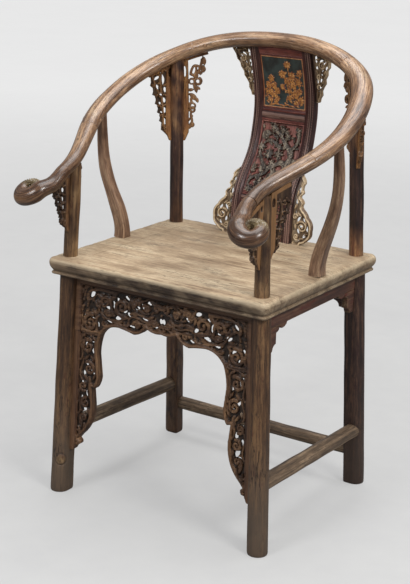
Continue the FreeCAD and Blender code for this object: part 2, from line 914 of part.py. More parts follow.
def make_splat():
    inner = splat_half_width - splat_stile_width
    stile = splat_slab(inner, splat_half_width, splat_thickness)
    tongue = splat_tongue_length
    groove = splat_slab(inner - tongue, inner + tongue, splat_panel_thickness + 2 * fit_gap)
    stile = biggest(stile.cut([back_scribe, groove]))
    stile = stile.fuse([stile_tenon(1, "foot"), stile_tenon(1, "head")]).removeSplitter()
    both_sides("splat_stile_{}", biggest(stile))

    top_foot = splat_height(splat_top_rail_share)
    upper_foot = splat_height(splat_upper_rail_share)
    upper_top = upper_foot + splat_upper_rail_height
    lower_foot = splat_height(splat_lower_rail_share)
    lower_top = lower_foot + splat_lower_rail_height
    rails = {
        "splat_rail_top": (top_foot, rail_back_height),
        "splat_rail_upper": (upper_foot, upper_top),
        "splat_rail_lower": (lower_foot, lower_top),
    }
    slack = tongue - fit_gap
    for name, (z0, z1) in rails.items():
        rail = splat_band(-inner, inner, z0, z1, splat_rail_thickness)
        tenon = splat_band(-inner - slack, inner + slack, z0, z1, splat_panel_thickness)
        rail = biggest(rail.fuse(tenon).removeSplitter().cut(back_scribe))
        pieces[name] = rail
    panels = {
        "splat_panel_upper": (upper_top, top_foot),
        "splat_panel_middle": (lower_top, upper_foot),
        "splat_panel_lower": (seat_height, lower_foot),
    }
    for name, (z0, z1) in panels.items():
        pieces[name] = splat_band(-inner - slack, inner + slack, z0, z1, splat_panel_thickness)


def wing(shares, eyelets, width, foot, top):
    """An openwork board at the right stile's outer side, bent with the splat."""
    reach = seat_half_width
    height = top - foot
    points = [(splat_half_width + u * width, foot + z * height) for u, z in shares]
    outline = polygon_board(points, 2 * reach)
    outline.translate(V(0, splat_foot_y(), 0))
    sheet = splat_slab(splat_half_width, splat_half_width + width, wing_thickness)
    tools = [back_scribe, rail_scribe]
    for u, z, length_share, degrees in eyelets:
        x = splat_half_width + u * width
        hole = eyelet(
            x, foot + z * height, eyelet_length * length_share, eyelet_width, degrees, 2 * reach
        )
        hole.translate(V(0, splat_foot_y(), 0))
        tools.append(hole)
    return biggest(sheet.common(outline).cut(tools))


def make_wings():
    foot = splat_height(top_wing_foot_share)
    top_wing = wing(top_wing_shares, top_wing_eyelet_shares, top_wing_width, foot, rail_back_height)
    both_sides("splat_wing_top_{}", top_wing)
    top = splat_height(bottom_wing_top_share)
    bottom_wing = wing(
        bottom_wing_shares, bottom_wing_eyelet_shares, bottom_wing_width, seat_height, top
    )
    both_sides("splat_wing_bottom_{}", bottom_wing)


# Spandrels
def spandrel(kind, towards, width, drop_share):
    """An openwork bracket beside the right post, in the upright plane towards a point of the rail."""
    here = leg_head(kind)
    height = drop_share * (here.z - seat_height)
    flat = V(towards.x - here.x, towards.y - here.y, 0)
    points = [(u * width, here.z - drop * height) for u, drop in spandrel_shares]
    points += [(width, towards.z)]
    piece = polygon_board(points, spandrel_thickness)
    tools = []
    for u, drop, length_share, degrees in spandrel_eyelet_shares:
        length = eyelet_length * length_share * spandrel_eyelet_scale_share
        hole_width = eyelet_width * spandrel_eyelet_scale_share
        x = u * width
        z = here.z - drop * height
        tools.append(eyelet(x, z, length, hole_width, -degrees, spandrel_thickness))
    piece = piece.cut(tools)
    turn = math.degrees(math.atan2(flat.y, flat.x))
    piece.rotate(V(0, 0, 0), V(0, 0, 1), turn)
    lean_foot = leg_axis(kind, here.z - height)
    piece.translate(V(lean_foot.x, lean_foot.y, 0))
    piece = piece.cut([post_upper(kind, scribe_gap), rail_scribe, grip_body(scribe_gap)])
    below = [solid for solid in piece.Solids if solid.BoundBox.ZMin < here.z - height / 2]
    return max(below, key=lambda solid: solid.Volume)


def make_spandrels():
    wide = rear_spandrel_width
    rear_place = rear_post_share * rail_half_length
    outer = rail_frame(rear_place + wide)[0]
    inner = rail_frame(rear_place - wide)[0]
    front_place = front_post_share * rail_half_length
    arm = rail_frame(front_place - arm_spandrel_width)[0]
    end, heading, _, _ = grip_frame()
    grip = end + heading * (front_place + front_spandrel_width - rail_half_length)
    tall = rear_spandrel_drop_share
    both_sides("spandrel_rear_outer_{}", spandrel("rear", outer, wide, tall))
    both_sides("spandrel_rear_inner_{}", spandrel("rear", inner, wide, tall))
    both_sides(
        "spandrel_front_grip_{}",
        spandrel("front", grip, front_spandrel_width, front_spandrel_drop_share),
    )
    both_sides(
        "spandrel_front_arm_{}",
        spandrel("front", arm, arm_spandrel_width, arm_spandrel_drop_share),
    )


# Side posts
def side_post_curve():
    foot = V(seat_half_width - side_post_foot_inset, side_post_foot_y, seat_height)
    swing = rail_frame(side_post_share * rail_half_length)[0] - foot
    points = []
    for height_share, swing_share, forward_share in side_post_shares:
        bend = V(swing_share * swing.x, forward_share * swing.y, height_share * swing.z)
        points.append(foot + bend)
    curve = Part.BSplineCurve()
    curve.interpolate(points)
    return curve.toShape()


def soft_square(origin, first, second, half, corner):
    """A square with its corners planed off, in the plane of two directions."""
    straight = half - corner
    corners = []
    for ahead, aside in ((first, second), (second, -first), (-first, -second), (-second, first)):
        corners.append(origin + ahead * half - aside * straight)
        corners.append(origin + ahead * half + aside * straight)
    return corners


def side_post_tenon(side, end, grow=0):
    edge = side_post_curve()
    if end == "foot":
        middle = edge.Vertexes[0].Point
        start = middle - V(0, 0, seat_thickness / 2 + grow)
    else:
        middle = edge.Vertexes[1].Point
        start = middle - V(0, 0, rail_half_height)
    head = middle + V(0, 0, side_post_tenon_length + grow)
    tenon = square_bar(start, head, side_post_tenon_half + grow)
    return tenon if side > 0 else mirrored(tenon)


def make_side_posts():
    edge = side_post_curve()
    stations = side_post_stations
    sections = []
    for k in range(stations + 1):
        share = k / stations
        parameter = edge.getParameterByLength(edge.Length * share)
        along = edge.tangentAt(parameter)
        if k == 0:
            along = V(0, 0, 1)
        first = V(0, 1, 0).cross(along)
        first.normalize()
        second = along.cross(first)
        second.normalize()
        taper = share ** side_post_taper_share
        half = blend(side_post_foot_half_thickness, side_post_top_half_thickness, taper)
        corner = half * blend(side_post_foot_corner_share, side_post_head_corner_share, share)
        sections.append(soft_square(edge.valueAt(parameter), first, second, half, corner))
    body = biggest(carved(sections).cut(rail_scribe))
    foot = side_post_tenon(1, "foot")
    head = side_post_tenon(1, "head")
    both_sides("side_post_{}", biggest(body.fuse([foot, head]).removeSplitter()))


# Crest rail pieces
def lap_frame(distance):
    origin, along, up, across = rail_frame(distance)
    return frame_at(origin, along, up, across)


def lap_waste(distance, keeps):
    """What is sawn off at a lap: the inner piece keeps the top tongue, the outer one the bottom."""
    place = lap_frame(distance)
    half = lap_length / 2
    far = lap_length + 2 * rail_half_width
    wide = 2 * rail_half_width
    if keeps == "top":
        end = block(V(half, -wide, -wide), V(far, wide, wide), place)
        step = block(V(-half, -wide, -wide), V(far, 0, wide), place)
    else:
        end = block(V(-far, -wide, -wide), V(-half, wide, wide), place)
        step = block(V(-far, 0, -wide), V(half, wide, wide), place)
    return [end, step]


def lap_hook(distance, keeps, grow=0):
    """The short tongue at a lap's tip, which slips into the other piece's shoulder."""
    place = lap_frame(distance)
    half = lap_length / 2
    reach = hook_length + grow
    wide = hook_half_width + grow
    if keeps == "top":
        return block(V(half - overrun, 0, -wide), V(half + reach, hook_height + grow, wide), place)
    low = V(-half - reach, -hook_height - grow, -wide)
    return block(low, V(-half + overrun, 0, wide), place)


def lap_wedge(distance, grow=0):
    """A square wedge driven through the middle of the lap from the outside."""
    origin, along, up, across = rail_frame(distance)
    reach = rail_half_width + overrun
    ends = []
    for side, size in ((-reach, wedge_thick_end), (reach, wedge_thin_end)):
        half = size / 2 + grow
        corners = []
        for a, u in ((-half, -half), (half, -half), (half, half), (-half, half)):
            corners.append(origin + across * side + along * a + up * u)
        ends.append(Part.makePolygon(corners + corners[:1]))
    return Part.makeLoft(ends, True, True)


def rail_mortises():
    tools = [post_tenon(kind, fit_gap) for kind in ("front", "rear")]
    tools += [side_post_tenon(1, "head", fit_gap), grip_tenon(fit_gap)]
    return tools


def grip_frame():
    """The end of the arm, where the grip begins."""
    return rail_frame(rail_half_length)


def grip_tenon(grow=0):
    origin, along, _, _ = grip_frame()
    reach = grip_tenon_length + grow
    return square_bar(origin - along * reach, origin + along * reach, grip_tenon_half + grow)


def make_crest_rail():
    margin = lap_length / 2 + rail_half_width
    mortises = rail_mortises()
    stile_mortises = [stile_tenon(side, "head", fit_gap) for side in (-1, 1)]

    back = rail_length(-back_lap - margin, back_lap + margin)
    waste = lap_waste(back_lap, "top")
    waste += [lap_hook(back_lap, "bottom", fit_gap), lap_wedge(back_lap, fit_gap)]
    back = back.cut(waste + [mirrored(tool) for tool in waste] + stile_mortises)
    hook = lap_hook(back_lap, "top").cut(lap_wedge(back_lap, fit_gap))
    pieces["crest_back"] = biggest(back.fuse([hook, mirrored(hook)]))

    bend = rail_length(back_lap - margin, arm_lap + margin)
    waste = lap_waste(back_lap, "bottom") + lap_waste(arm_lap, "top")
    waste += [lap_hook(back_lap, "top", fit_gap), lap_hook(arm_lap, "bottom", fit_gap)]
    waste += [lap_wedge(back_lap, fit_gap), lap_wedge(arm_lap, fit_gap)]
    bend = bend.cut(waste + mortises)
    bend = bend.fuse([lap_hook(back_lap, "bottom"), lap_hook(arm_lap, "top")])
    both_sides("crest_bend_{}", biggest(bend))

    arm = rail_length(arm_lap - margin, rail_half_length)
    waste = lap_waste(arm_lap, "bottom")
    waste += [lap_hook(arm_lap, "top", fit_gap), lap_wedge(arm_lap, fit_gap)]
    arm = arm.cut(waste + mortises).fuse(lap_hook(arm_lap, "bottom"))
    both_sides("crest_arm_{}", biggest(arm))

    wedges = []
    for place in (back_lap, arm_lap):
        reach = rail_half_width
        wood = rail_length(place - reach, place + reach)
        wedge = biggest(lap_wedge(place).common(wood))
        wedges += [wedge, mirrored(wedge)]
    pieces["crest_wedges"] = Part.makeCompound(wedges)


def grip_body(grow=0):
    """The rail runs on, then winds outward round the eye, drawing in as it goes."""
    start, along, up, across = grip_frame()
    outward = -across
    eye = start + along * grip_eye_forward + outward * grip_eye_outward
    stops = [(start, along, rail_half_width, rail_half_height)]
    for k in range(grip_stations + 1):
        share = k / grip_stations
        angle = math.radians(grip_turn_degrees * share)
        radius = blend(grip_turn_radius, grip_end_radius, share)
        spoke = -outward * math.cos(angle) + along * math.sin(angle)
        heading = outward * math.sin(angle) + along * math.cos(angle)
        half_width = blend(grip_half_width, grip_end_half_width, share)
        half_height = blend(grip_half_height, grip_end_half_height, share)
        stops.append((eye + spoke * radius, heading, half_width, half_height))
    rings = []
    for origin, heading, half_width, half_height in stops:
        aside = heading.cross(up)
        aside.normalize()
        rings.append(ring(origin, up, aside, half_width + grow, half_height + grow))
    middle = round(grip_split_share * len(rings))
    return carved(rings[: middle + 1]).fuse(carved(rings[middle:]))


def make_grips():
    both_sides("hand_grip_{}", biggest(grip_body().fuse(grip_tenon())))


def export():
    """Moves the origin to the floor under the middle of the chair and writes each piece."""
    box = Part.makeCompound(list(pieces.values())).optimalBoundingBox()
    to_origin = V(-box.Center.x, -box.Center.y, -box.ZMin)
    for name, shape in pieces.items():
        shape.translate(to_origin)
        shape.exportStep("parts/" + name + ".step")
    print(len(pieces), "pieces, size", box.XLength, box.YLength, box.ZLength)


make_legs()
make_stretchers()
make_seat()
make_front_apron()
make_plain_aprons()
make_splat()
make_wings()
make_spandrels()
make_side_posts()
make_crest_rail()
make_grips()
export()
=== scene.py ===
import math

import bmesh
import bpy
import numpy as np
from mathutils import Matrix


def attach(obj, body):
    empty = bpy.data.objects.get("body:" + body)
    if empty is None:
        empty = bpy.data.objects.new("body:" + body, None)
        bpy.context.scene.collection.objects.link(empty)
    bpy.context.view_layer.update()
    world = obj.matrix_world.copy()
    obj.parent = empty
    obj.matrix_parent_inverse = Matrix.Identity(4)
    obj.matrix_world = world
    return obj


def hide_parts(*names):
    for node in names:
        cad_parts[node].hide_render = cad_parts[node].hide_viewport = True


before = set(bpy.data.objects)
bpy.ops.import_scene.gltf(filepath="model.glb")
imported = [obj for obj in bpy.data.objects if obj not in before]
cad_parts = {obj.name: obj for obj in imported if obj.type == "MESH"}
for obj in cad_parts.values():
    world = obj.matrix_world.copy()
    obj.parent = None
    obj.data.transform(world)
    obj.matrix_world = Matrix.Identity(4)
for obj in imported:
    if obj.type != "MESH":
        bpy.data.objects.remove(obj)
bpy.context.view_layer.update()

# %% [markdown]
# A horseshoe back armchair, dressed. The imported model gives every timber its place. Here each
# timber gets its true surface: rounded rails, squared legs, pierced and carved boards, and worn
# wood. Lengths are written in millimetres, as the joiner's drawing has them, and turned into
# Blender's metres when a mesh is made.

MM = 0.001
sole = np.array([v.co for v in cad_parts["leg_front_right"].data.vertices]) / MM
sole = sole[sole[:, 2] < 0.01]
FRONT_FOOT = np.array([244.8, (sole[:, 1].min() + sole[:, 1].max()) / 2, 0.0])
REAR_FOOT = FRONT_FOOT + [-6.3, 408.0, 0.0]
SETBACK = -161.0 - FRONT_FOOT[1]  # the chair's own drawing lies this much further back
SEAT = 510.0
SEAT_UNDERSIDE = 470.0
FOOT_RADIUS = {"front": 20.5, "rear": 19.8}
SHOULDER_RADIUS = 18.4  # of a leg just below the seat
POST_RADIUS = 14.5
HEAD_SHARE = {"front": 0.938, "rear": 0.341}  # how far along half the rail the posts meet it
print("front foot at", FRONT_FOOT, "setback", round(SETBACK, 3))

# %% [markdown]
# Curves come first. The crest rail, the splat and the side posts all follow smooth lines that
# were laid out through a few points. A cubic spline through the points is worked out with one
# matrix, then sampled closely, so that later steps can ask for a place by its distance.

# %% Smooth lines through points


def unit(vectors):
    """Each vector divided by its own length."""
    return vectors / np.linalg.norm(vectors, axis=-1, keepdims=True)


def smooth_line(points, samples=1600):
    """Cubic spline by chord length: second slopes from one linear system, ends as in the middle."""
    points = np.asarray(points, float)
    knots = np.concatenate([[0], np.cumsum(np.linalg.norm(np.diff(points, axis=0), axis=1))])
    h = np.diff(knots)[:, None]
    slope = np.diff(points, axis=0) / h
    n = len(points)
    matrix = np.zeros((n, n))
    right = np.zeros_like(points)
    inner = np.arange(1, n - 1)
    matrix[inner, inner - 1] = h[:-1, 0]
    matrix[inner, inner] = 2 * (h[:-1, 0] + h[1:, 0])
    matrix[inner, inner + 1] = h[1:, 0]
    right[inner] = 6 * np.diff(slope, axis=0)
    matrix[0, :3] = [h[1, 0], -h[0, 0] - h[1, 0], h[0, 0]]
    matrix[-1, -3:] = [h[-1, 0], -h[-1, 0] - h[-2, 0], h[-2, 0]]
    bend = np.linalg.solve(matrix, right)
    t = np.linspace(0, knots[-1], samples)
    k = np.clip(np.searchsorted(knots, t) - 1, 0, n - 2)
    a = ((knots[k + 1] - t) / h[k, 0])[:, None]
    b = 1 - a
    cubic = ((a**3 - a) * bend[k] + (b**3 - b) * bend[k + 1]) * h[k] ** 2 / 6
    line = a * points[k] + b * points[k + 1] + cubic
    steps = np.linalg.norm(np.diff(line, axis=0), axis=1)
    return np.concatenate([[0], np.cumsum(steps)]), line


def along_line(line, distance):
    """Places on a sampled line at distances, each coordinate read off by straight interpolation."""
    lengths, points = line
    distance = np.asarray(distance, float)
    return np.stack([np.interp(distance, lengths, column) for column in points.T], -1)


def heading(line, distance, step=1.5):
    """Direction of a line at distances, from two places close by."""
    length = line[0][-1]
    low = np.clip(distance - step, 0, length)
    high = np.clip(distance + step, 0, length)
    return unit(along_line(line, high) - along_line(line, low))


RAIL_SHARES = [
    (0, 1, 0), (0.417, 0.956, 0.037), (0.61, 0.912, 0.097), (0.779, 0.849, 0.186),
    (0.901, 0.751, 0.288), (1, 0.525, 0.519), (0.987, 0.406, 0.636), (0.925, 0.288, 0.747),
    (0.838, 0.172, 0.846), (0.772, 0.059, 0.943), (0.765, 0, 1),
]
rail_right = np.array(
    [(278.5 * x, -178.0 + 445.0 * y - SETBACK, 921.5 - 230.85 * z) for x, y, z in RAIL_SHARES]
)
rail_left = rail_right[:0:-1] * [-1, 1, 1]
RAIL = smooth_line(np.concatenate([rail_left, rail_right]), 4000)
HALF_RAIL = RAIL[0][-1] / 2
print("crest rail", round(2 * HALF_RAIL, 1), "mm long")


def rail_place(distance):
    """Origin, along, up and across of the rail, by distance from the middle of the back."""
    run = np.asarray(distance, float) + HALF_RAIL
    along = heading(RAIL, run)
    across = unit(np.cross(along, np.array([0.0, 0.0, 1.0])))
    return along_line(RAIL, run), along, np.cross(across, along), across


def leg_head(kind):
    """Where the right leg's axis meets the middle of the crest rail."""
    return rail_place(HEAD_SHARE[kind] * HALF_RAIL)[0]


def leg_axis(kind, height):
    """A place on the right leg's straight axis at a height."""
    foot = FRONT_FOOT if kind == "front" else REAR_FOOT
    head = leg_head(kind)
    return foot + (head - foot) * (np.asarray(height, float)[..., None] / head[2])


# %% [markdown]
# Every piece is a numpy surface: rows of points that a few helpers join into faces. Each point
# also keeps where it lies in the straight timber that the piece was sawn from, as "grain", so the
# wood's fibres follow a bent rail, and a "crown" value: 1 on ridges, which show rubbed wear and get
# a painted highlight, 0 in hollows, grooves and under overhangs, which get painted shade.


def ruled_faces(rows, columns, ring=True):
    """Four-cornered faces between neighbouring rows; a ring joins its last column to its first."""
    r = np.arange(rows - 1)[:, None]
    c = np.arange(columns if ring else columns - 1)[None, :]
    d = (c + 1) % columns
    corners = [r * columns + c, r * columns + d, (r + 1) * columns + d, (r + 1) * columns + c]
    return np.stack(np.broadcast_arrays(*corners), -1).reshape(-1, 4)


def cleaned(mesh, near):
    """Points closer than near are merged, slivers dissolved and faces turned outward."""
    work = bmesh.new()
    work.from_mesh(mesh)
    bmesh.ops.remove_doubles(work, verts=work.verts, dist=near)
    bmesh.ops.dissolve_degenerate(work, edges=work.edges, dist=1e-6)
    bmesh.ops.recalc_face_normals(work, faces=work.faces)
    work.to_mesh(mesh)
    work.free()


def add_piece(name, points, faces, grain, crown, finish, paint=0.0, sharp=38.0):
    """A mesh from arrays in millimetres; edges bent by more than sharp degrees stay sharp."""
    points = np.asarray(points, float).reshape(-1, 3)
    mesh = bpy.data.meshes.new(name)
    mesh.from_pydata(points * MM, [], faces)
    field = mesh.attributes.new("grain", "FLOAT_VECTOR", "POINT")
    field.data.foreach_set("vector", (np.asarray(grain, float).reshape(-1, 3) * MM).ravel())
    for kind, values in (("crown", crown), ("paint", paint)):
        field = mesh.attributes.new(kind, "FLOAT", "POINT")
        field.data.foreach_set("value", np.broadcast_to(values, len(points)).astype(float).ravel())
    cleaned(mesh, 2e-6)
    mesh.polygons.foreach_set("use_smooth", np.ones(len(mesh.polygons), bool))
    mesh.set_sharp_from_angle(angle=math.radians(sharp))
    mesh.materials.append(finish)
    piece = bpy.data.objects.new(name, mesh)
    bpy.context.scene.collection.objects.link(piece)
    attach(piece, "root")
    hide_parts(name)
    print(name, len(mesh.polygons), "faces")


def unevenness(points, size, seed, waves=7):
    """Handwork: the mean of a few sine waves in random directions, from about -1 to 1."""
    rng = np.random.default_rng(seed)
    directions = unit(rng.normal(size=(waves, 3))) * (2 * np.pi / size)
    phases = rng.uniform(0, 2 * np.pi, waves)
    return np.sin(points @ directions.T + phases).mean(-1) * 1.8


def capped(values, layers=1):
    """The first and last row of values said again for the closed ends, as one long list."""
    first, last = (np.repeat(row, layers, 0) for row in (values[:1], values[-1:]))
    return np.concatenate([first, values, last]).ravel()


def swept(name, centres, up, across, offsets, runs, finish, crown=1.0, rough=0.3, seed=1,
          mirror=False, sharp=38.0, paint=0.0):
    """A profile carried along a path: place = centre + across * a + up * u, with closed ends."""
    a, u = offsets[..., 0], offsets[..., 1]
    up, across = (np.broadcast_to(way, centres.shape)[:, None] for way in (up, across))
    points = centres[:, None] + across * a[..., None] + up * u[..., None]
    out = unit(points - centres[:, None] + 1e-9)
    points = points + out * (rough * unevenness(points, 70.0, seed))[..., None]
    grain = np.stack([np.broadcast_to(runs[:, None], a.shape), a, u], -1)
    ends = [np.repeat(centres[k][None, None], a.shape[1], 1) for k in (0, -1)]
    points = np.concatenate([ends[0], points, ends[1]])
    ends = [np.repeat([[[runs[k], 0, 0]]], a.shape[1], 1) for k in (0, -1)]
    grain = np.concatenate([ends[0], grain, ends[1]]) + [seed * 37.0, 0, 0]
    crown, paint = (capped(np.broadcast_to(value, a.shape)) for value in (crown, paint))
    if mirror:
        points = points * [-1, 1, 1]
    add_piece(name, points, ruled_faces(*points.shape[:2]), grain, crown, finish, paint, sharp)


# %% [markdown]
# Colours are written as the 0-255 values that a screen shows and turned into the linear light
# that Blender's shaders use.

# %% Colours


def colour(red, green, blue):
    """Screen colour to linear light: a power of 2.4 above a short straight part."""
    shares = np.array([red, green, blue]) / 255
    linear = np.where(shares <= 0.04045, shares / 12.92, ((shares + 0.055) / 1.055) ** 2.4)
    return tuple(float(v) for v in linear)


print("a middle grey is", colour(128, 128, 128)[0])

# %% [markdown]
# A material is a web of small nodes. This class lets sums be written as sums: adding two tones
# adds a Math node. Each method below makes one kind of node and gives back its output.

# %% A small shader language


def join(node, inputs):
    """Inputs by name or number: a tone is linked to its socket, a plain value is set on it."""
    for key, value in inputs.items():
        if isinstance(value, Tone):
            node.id_data.links.new(value.socket, node.inputs[key])
        else:
            node.inputs[key].default_value = value


class Tone:
    """A socket in a material. Sums of tones add Math nodes; node() adds any other node."""

    def __init__(self, tree, socket=None):
        self.tree = tree
        self.socket = socket

    def node(self, kind, settings=None, inputs=None, output=0):
        """A new node with its settings and inputs, as the tone of one of its outputs."""
        made = self.tree.nodes.new(kind)
        for key, value in (settings or {}).items():
            setattr(made, key, value)
        join(made, inputs or {})
        return Tone(self.tree, made.outputs[output])

    def math(self, operation, first, second=0.0):
        """first and second joined by one Math node."""
        return self.node("ShaderNodeMath", {"operation": operation}, {0: first, 1: second})

    def __add__(self, other):
        return self.math("ADD", self, other)

    __radd__ = __add__

    def __sub__(self, other):
        return self.math("SUBTRACT", self, other)

    def __rsub__(self, other):
        return self.math("SUBTRACT", other, self)

    def __mul__(self, other):
        return self.math("MULTIPLY", self, other)

    __rmul__ = __mul__

    def attribute(self, name, output="Fac"):
        """A value that the mesh keeps at each of its points."""
        settings = {"attribute_type": "GEOMETRY", "attribute_name": name}
        return self.node("ShaderNodeAttribute", settings, None, output)

    def place(self):
        """Where a point lies in its object."""
        return self.node("ShaderNodeTexCoord", output="Object")

    def stretched(self, x, y, z, shift=0.0):
        """A vector tone scaled along its three axes, then shifted."""
        inputs = {0: self, 1: (x, y, z), 2: (shift, shift, shift)}
        return self.node("ShaderNodeVectorMath", {"operation": "MULTIPLY_ADD"}, inputs)

    def noise(self, detail=4.0, roughness=0.55, scale=1.0, warp=0.0):
        """Cloudy noise, read at the place that this tone says."""
        return self.node("ShaderNodeTexNoise", None, {
            "Vector": self, "Scale": scale, "Detail": detail, "Roughness": roughness,
            "Distortion": warp})

    def window(self, low, high, bottom=0.0, top=1.0):
        """Smooth step: bottom below low, top above high."""
        inputs = {"Value": self, "From Min": low, "From Max": high, "To Min": bottom, "To Max": top}
        return self.node("ShaderNodeMapRange", {"interpolation_type": "SMOOTHSTEP"}, inputs)

    def mix(self, first, second):
        """This tone as the share of the second colour over the first."""
        inputs = {0: self}
        for key, value in ((6, first), (7, second)):
            inputs[key] = value if isinstance(value, Tone) else (*value, 1.0)
        return self.node("ShaderNodeMix", {"data_type": "RGBA"}, inputs, 2)

    def palette(self, shades):
        """Dark, middle and light shade in turn, as this tone runs from 0.37 to 0.63."""
        made = self.node("ShaderNodeValToRGB", None, {0: self})
        stops = made.socket.node.color_ramp.elements
        stops.new(1.0)
        for stop, place, shade in zip(stops, (0.37, 0.50, 0.63), shades):
            stop.position = place
            stop.color = (*colour(*shade), 1.0)
        return made

    def bump(self, strength, distance):
        """A normal tilted by this tone as a height."""
        inputs = {"Strength": strength, "Distance": distance, "Height": self}
        return self.node("ShaderNodeBump", None, inputs)


def new_material(name):
    """A material, its shader, and a tone that adds nodes beside it."""
    material = bpy.data.materials.new(name)
    material.use_nodes = True
    tree = material.node_tree
    return material, next(n for n in tree.nodes if n.type == "BSDF_PRINCIPLED"), Tone(tree)


# %% [markdown]
# Old wood has four layers of pattern: broad patches where hands and sun changed it, growth-ring
# streaks that run the length of the timber, fine fibres, and dark pores and cracks. Over it lie
# the remains of lacquer, kept in hollows and lost on crowns. One recipe with different colours and
# amounts makes all the woods of the chair.

# %% The worn wood recipe


def worn_wood(name, dark, middle, light, lacquer=None, amount=0.0, hollow=(30, 20, 15), polish=0.42,
              streaks=1.0, cracks=0.0, relief=0.35, coat=0.0, packed=False, fade=None, edge=0.0,
              second=None, patches=()):
    """Streaks are noise stretched along the grain; lacquer stays where noise and crown allow."""
    material, shader, tone = new_material(name)
    if packed:
        turned = {"Vector": tone.place(), "Rotation": (0, 0, math.pi / 2)}
        grain, crown = tone.node("ShaderNodeMapping", None, turned), None
    else:
        grain, crown = tone.attribute("grain", "Vector"), tone.attribute("crown")
    broad = grain.stretched(9, 26, 26).noise(3.0, 0.6)
    rings = grain.stretched(5, 190, 190).noise(5.0, 0.62, warp=0.5)
    fibre = grain.stretched(38, 620, 620).noise(4.0, 0.72)
    blend = rings * (0.55 * streaks) + broad * 0.42 + fibre * 0.40 + (0.5 - 0.275 * streaks - 0.41)
    tint = blend.palette((dark, middle, light))
    if second:
        paint = tone.attribute("paint")
        tint = paint.mix(tint, blend.palette(second))
    for scale, low, high, share, shade in patches:
        cloud = grain.stretched(scale, scale * 1.7, scale * 1.7, scale).noise(6.0, 0.66)
        cloud = cloud * 0.8 + rings * 0.2
        tint = (cloud.window(low, high) * share).mix(tint, colour(*shade))
    pores = grain.stretched(60, 2100, 2100).noise(1.0, 0.5).window(0.62, 0.72)
    tint = (pores * 0.45).mix(tint, colour(*dark))
    flecks = grain.stretched(80, 280, 280).noise(3.0, 0.65).window(0.54, 0.66)
    tint = (flecks * 0.42).mix(tint, colour(*dark))
    depth = rings * 0.35 + fibre * 0.3 - pores * 0.5
    worn = broad * 0.6 + rings * 0.5
    if lacquer:
        flakes = grain.stretched(30, 95, 95).noise(6.0, 0.68)
        kept = worn * 0.45 + flakes * 0.62 - crown * 0.10 + 0.05
        kept = kept.window(0.74 - 0.4 * amount, 0.84 - 0.4 * amount)
        tint = (kept * 0.88).mix(tint, colour(*lacquer))
        depth = depth + kept * 0.5
    if fade:
        height = tone.node("ShaderNodeSeparateXYZ", None, {0: tone.place()}, "Z")
        low = (height + worn * 0.10 - 0.055).window(fade[0], fade[1], 1.0, 0.0) * (1.0 - paint)
        tint = (low * fade[2]).mix(tint, colour(*fade[3]))
    if cracks:
        vein = grain.stretched(7, 105, 105).noise(4.0, 0.6) - 0.5
        line = vein.math("ABSOLUTE", vein).window(0.004, 0.014, 1.0, 0.0)
        split = line * broad.window(0.50, 0.62) * cracks
        tint = split.mix(tint, colour(*hollow))
        depth = depth - split * 1.6
    # Painted shade: where the crown is low (hollows, grooves, undersides) the colour turns to the
    # hollow shade.
    if crown:
        tint = crown.window(0.0, 0.75, 0.85, 0.0).mix(tint, colour(*hollow))
    # Painted highlight together with rubbed wear: high crowns turn towards the light shade.
    if edge:
        rubbed_and_highlight = (crown.window(0.80, 1.0) * (worn * 0.8 + fibre * 0.5)).window(0.35, 0.70)
        tint = (rubbed_and_highlight * edge).mix(tint, colour(*light))
    join(shader, {
        "Base Color": tint, "Roughness": fibre * 0.16 + broad * 0.22 + (polish - 0.19),
        "Normal": depth.bump(relief, 0.0008), "Specular IOR Level": 0.45, "Coat Weight": coat,
        "Coat Roughness": 0.28})
    return material


# %% [markdown]
# Each wood gets its dark, middle and light shade. A second set of three shades shows where the
# mesh's "paint" value says so: bare worn wood on a post, red ground behind a carving, or darker
# shades on a lighter board, as on the seat's edge and on the wings' strips and rims. Patches are
# large clouds of one more shade.

# %% The chair's woods
CREST = worn_wood(
    "crest honey wood", (58, 38, 27), (134, 101, 74), (194, 160, 126), polish=0.27, relief=0.5,
    coat=0.3, hollow=(34, 25, 20), cracks=0.9, second=((46, 32, 23), (94, 67, 47), (148, 115, 84)),
    patches=((9, 0.50, 0.66, 0.6, (82, 60, 45)), (14, 0.55, 0.70, 0.5, (184, 160, 130))))
GRIP = worn_wood(
    "grip polished wood", (38, 25, 18), (80, 55, 38), (134, 100, 72), polish=0.25, relief=0.4,
    coat=0.25, hollow=(28, 21, 16), cracks=0.5,
    second=((78, 64, 46), (128, 112, 84), (168, 152, 118)),
    patches=((12, 0.5, 0.66, 0.5, (56, 42, 33)),))
FRONT_LEG = worn_wood(
    "front leg wood with red remains", (36, 24, 17), (82, 57, 38), (128, 96, 64),
    lacquer=(74, 35, 23), amount=0.42, polish=0.48, cracks=0.9, hollow=(22, 16, 13),
    fade=(0.05, 0.30, 0.6, (102, 89, 76)), relief=0.55,
    second=((80, 56, 38), (128, 100, 68), (162, 134, 98)),
    patches=((11, 0.48, 0.64, 0.6, (44, 30, 23)),))
REAR_LEG = worn_wood(
    "rear leg dark lacquer", (24, 17, 16), (52, 35, 31), (94, 68, 54), lacquer=(48, 27, 27),
    amount=0.50, polish=0.42, cracks=0.7, hollow=(18, 14, 12),
    fade=(0.05, 0.26, 0.6, (76, 63, 54)), relief=0.5,
    second=((86, 50, 36), (132, 92, 62), (164, 128, 88)))
POST = worn_wood(
    "side post wood", (74, 52, 40), (134, 104, 82), (176, 148, 120), lacquer=(82, 52, 40),
    amount=0.16, polish=0.40, hollow=(34, 24, 19), relief=0.45, cracks=0.6,
    patches=((10, 0.50, 0.66, 0.5, (92, 66, 52)),))
STRETCHER = worn_wood(
    "stretcher wood", (60, 48, 38), (112, 92, 72), (160, 136, 110), polish=0.5, cracks=0.8,
    hollow=(30, 24, 20), relief=0.5, patches=((10, 0.5, 0.66, 0.5, (62, 50, 40)),))
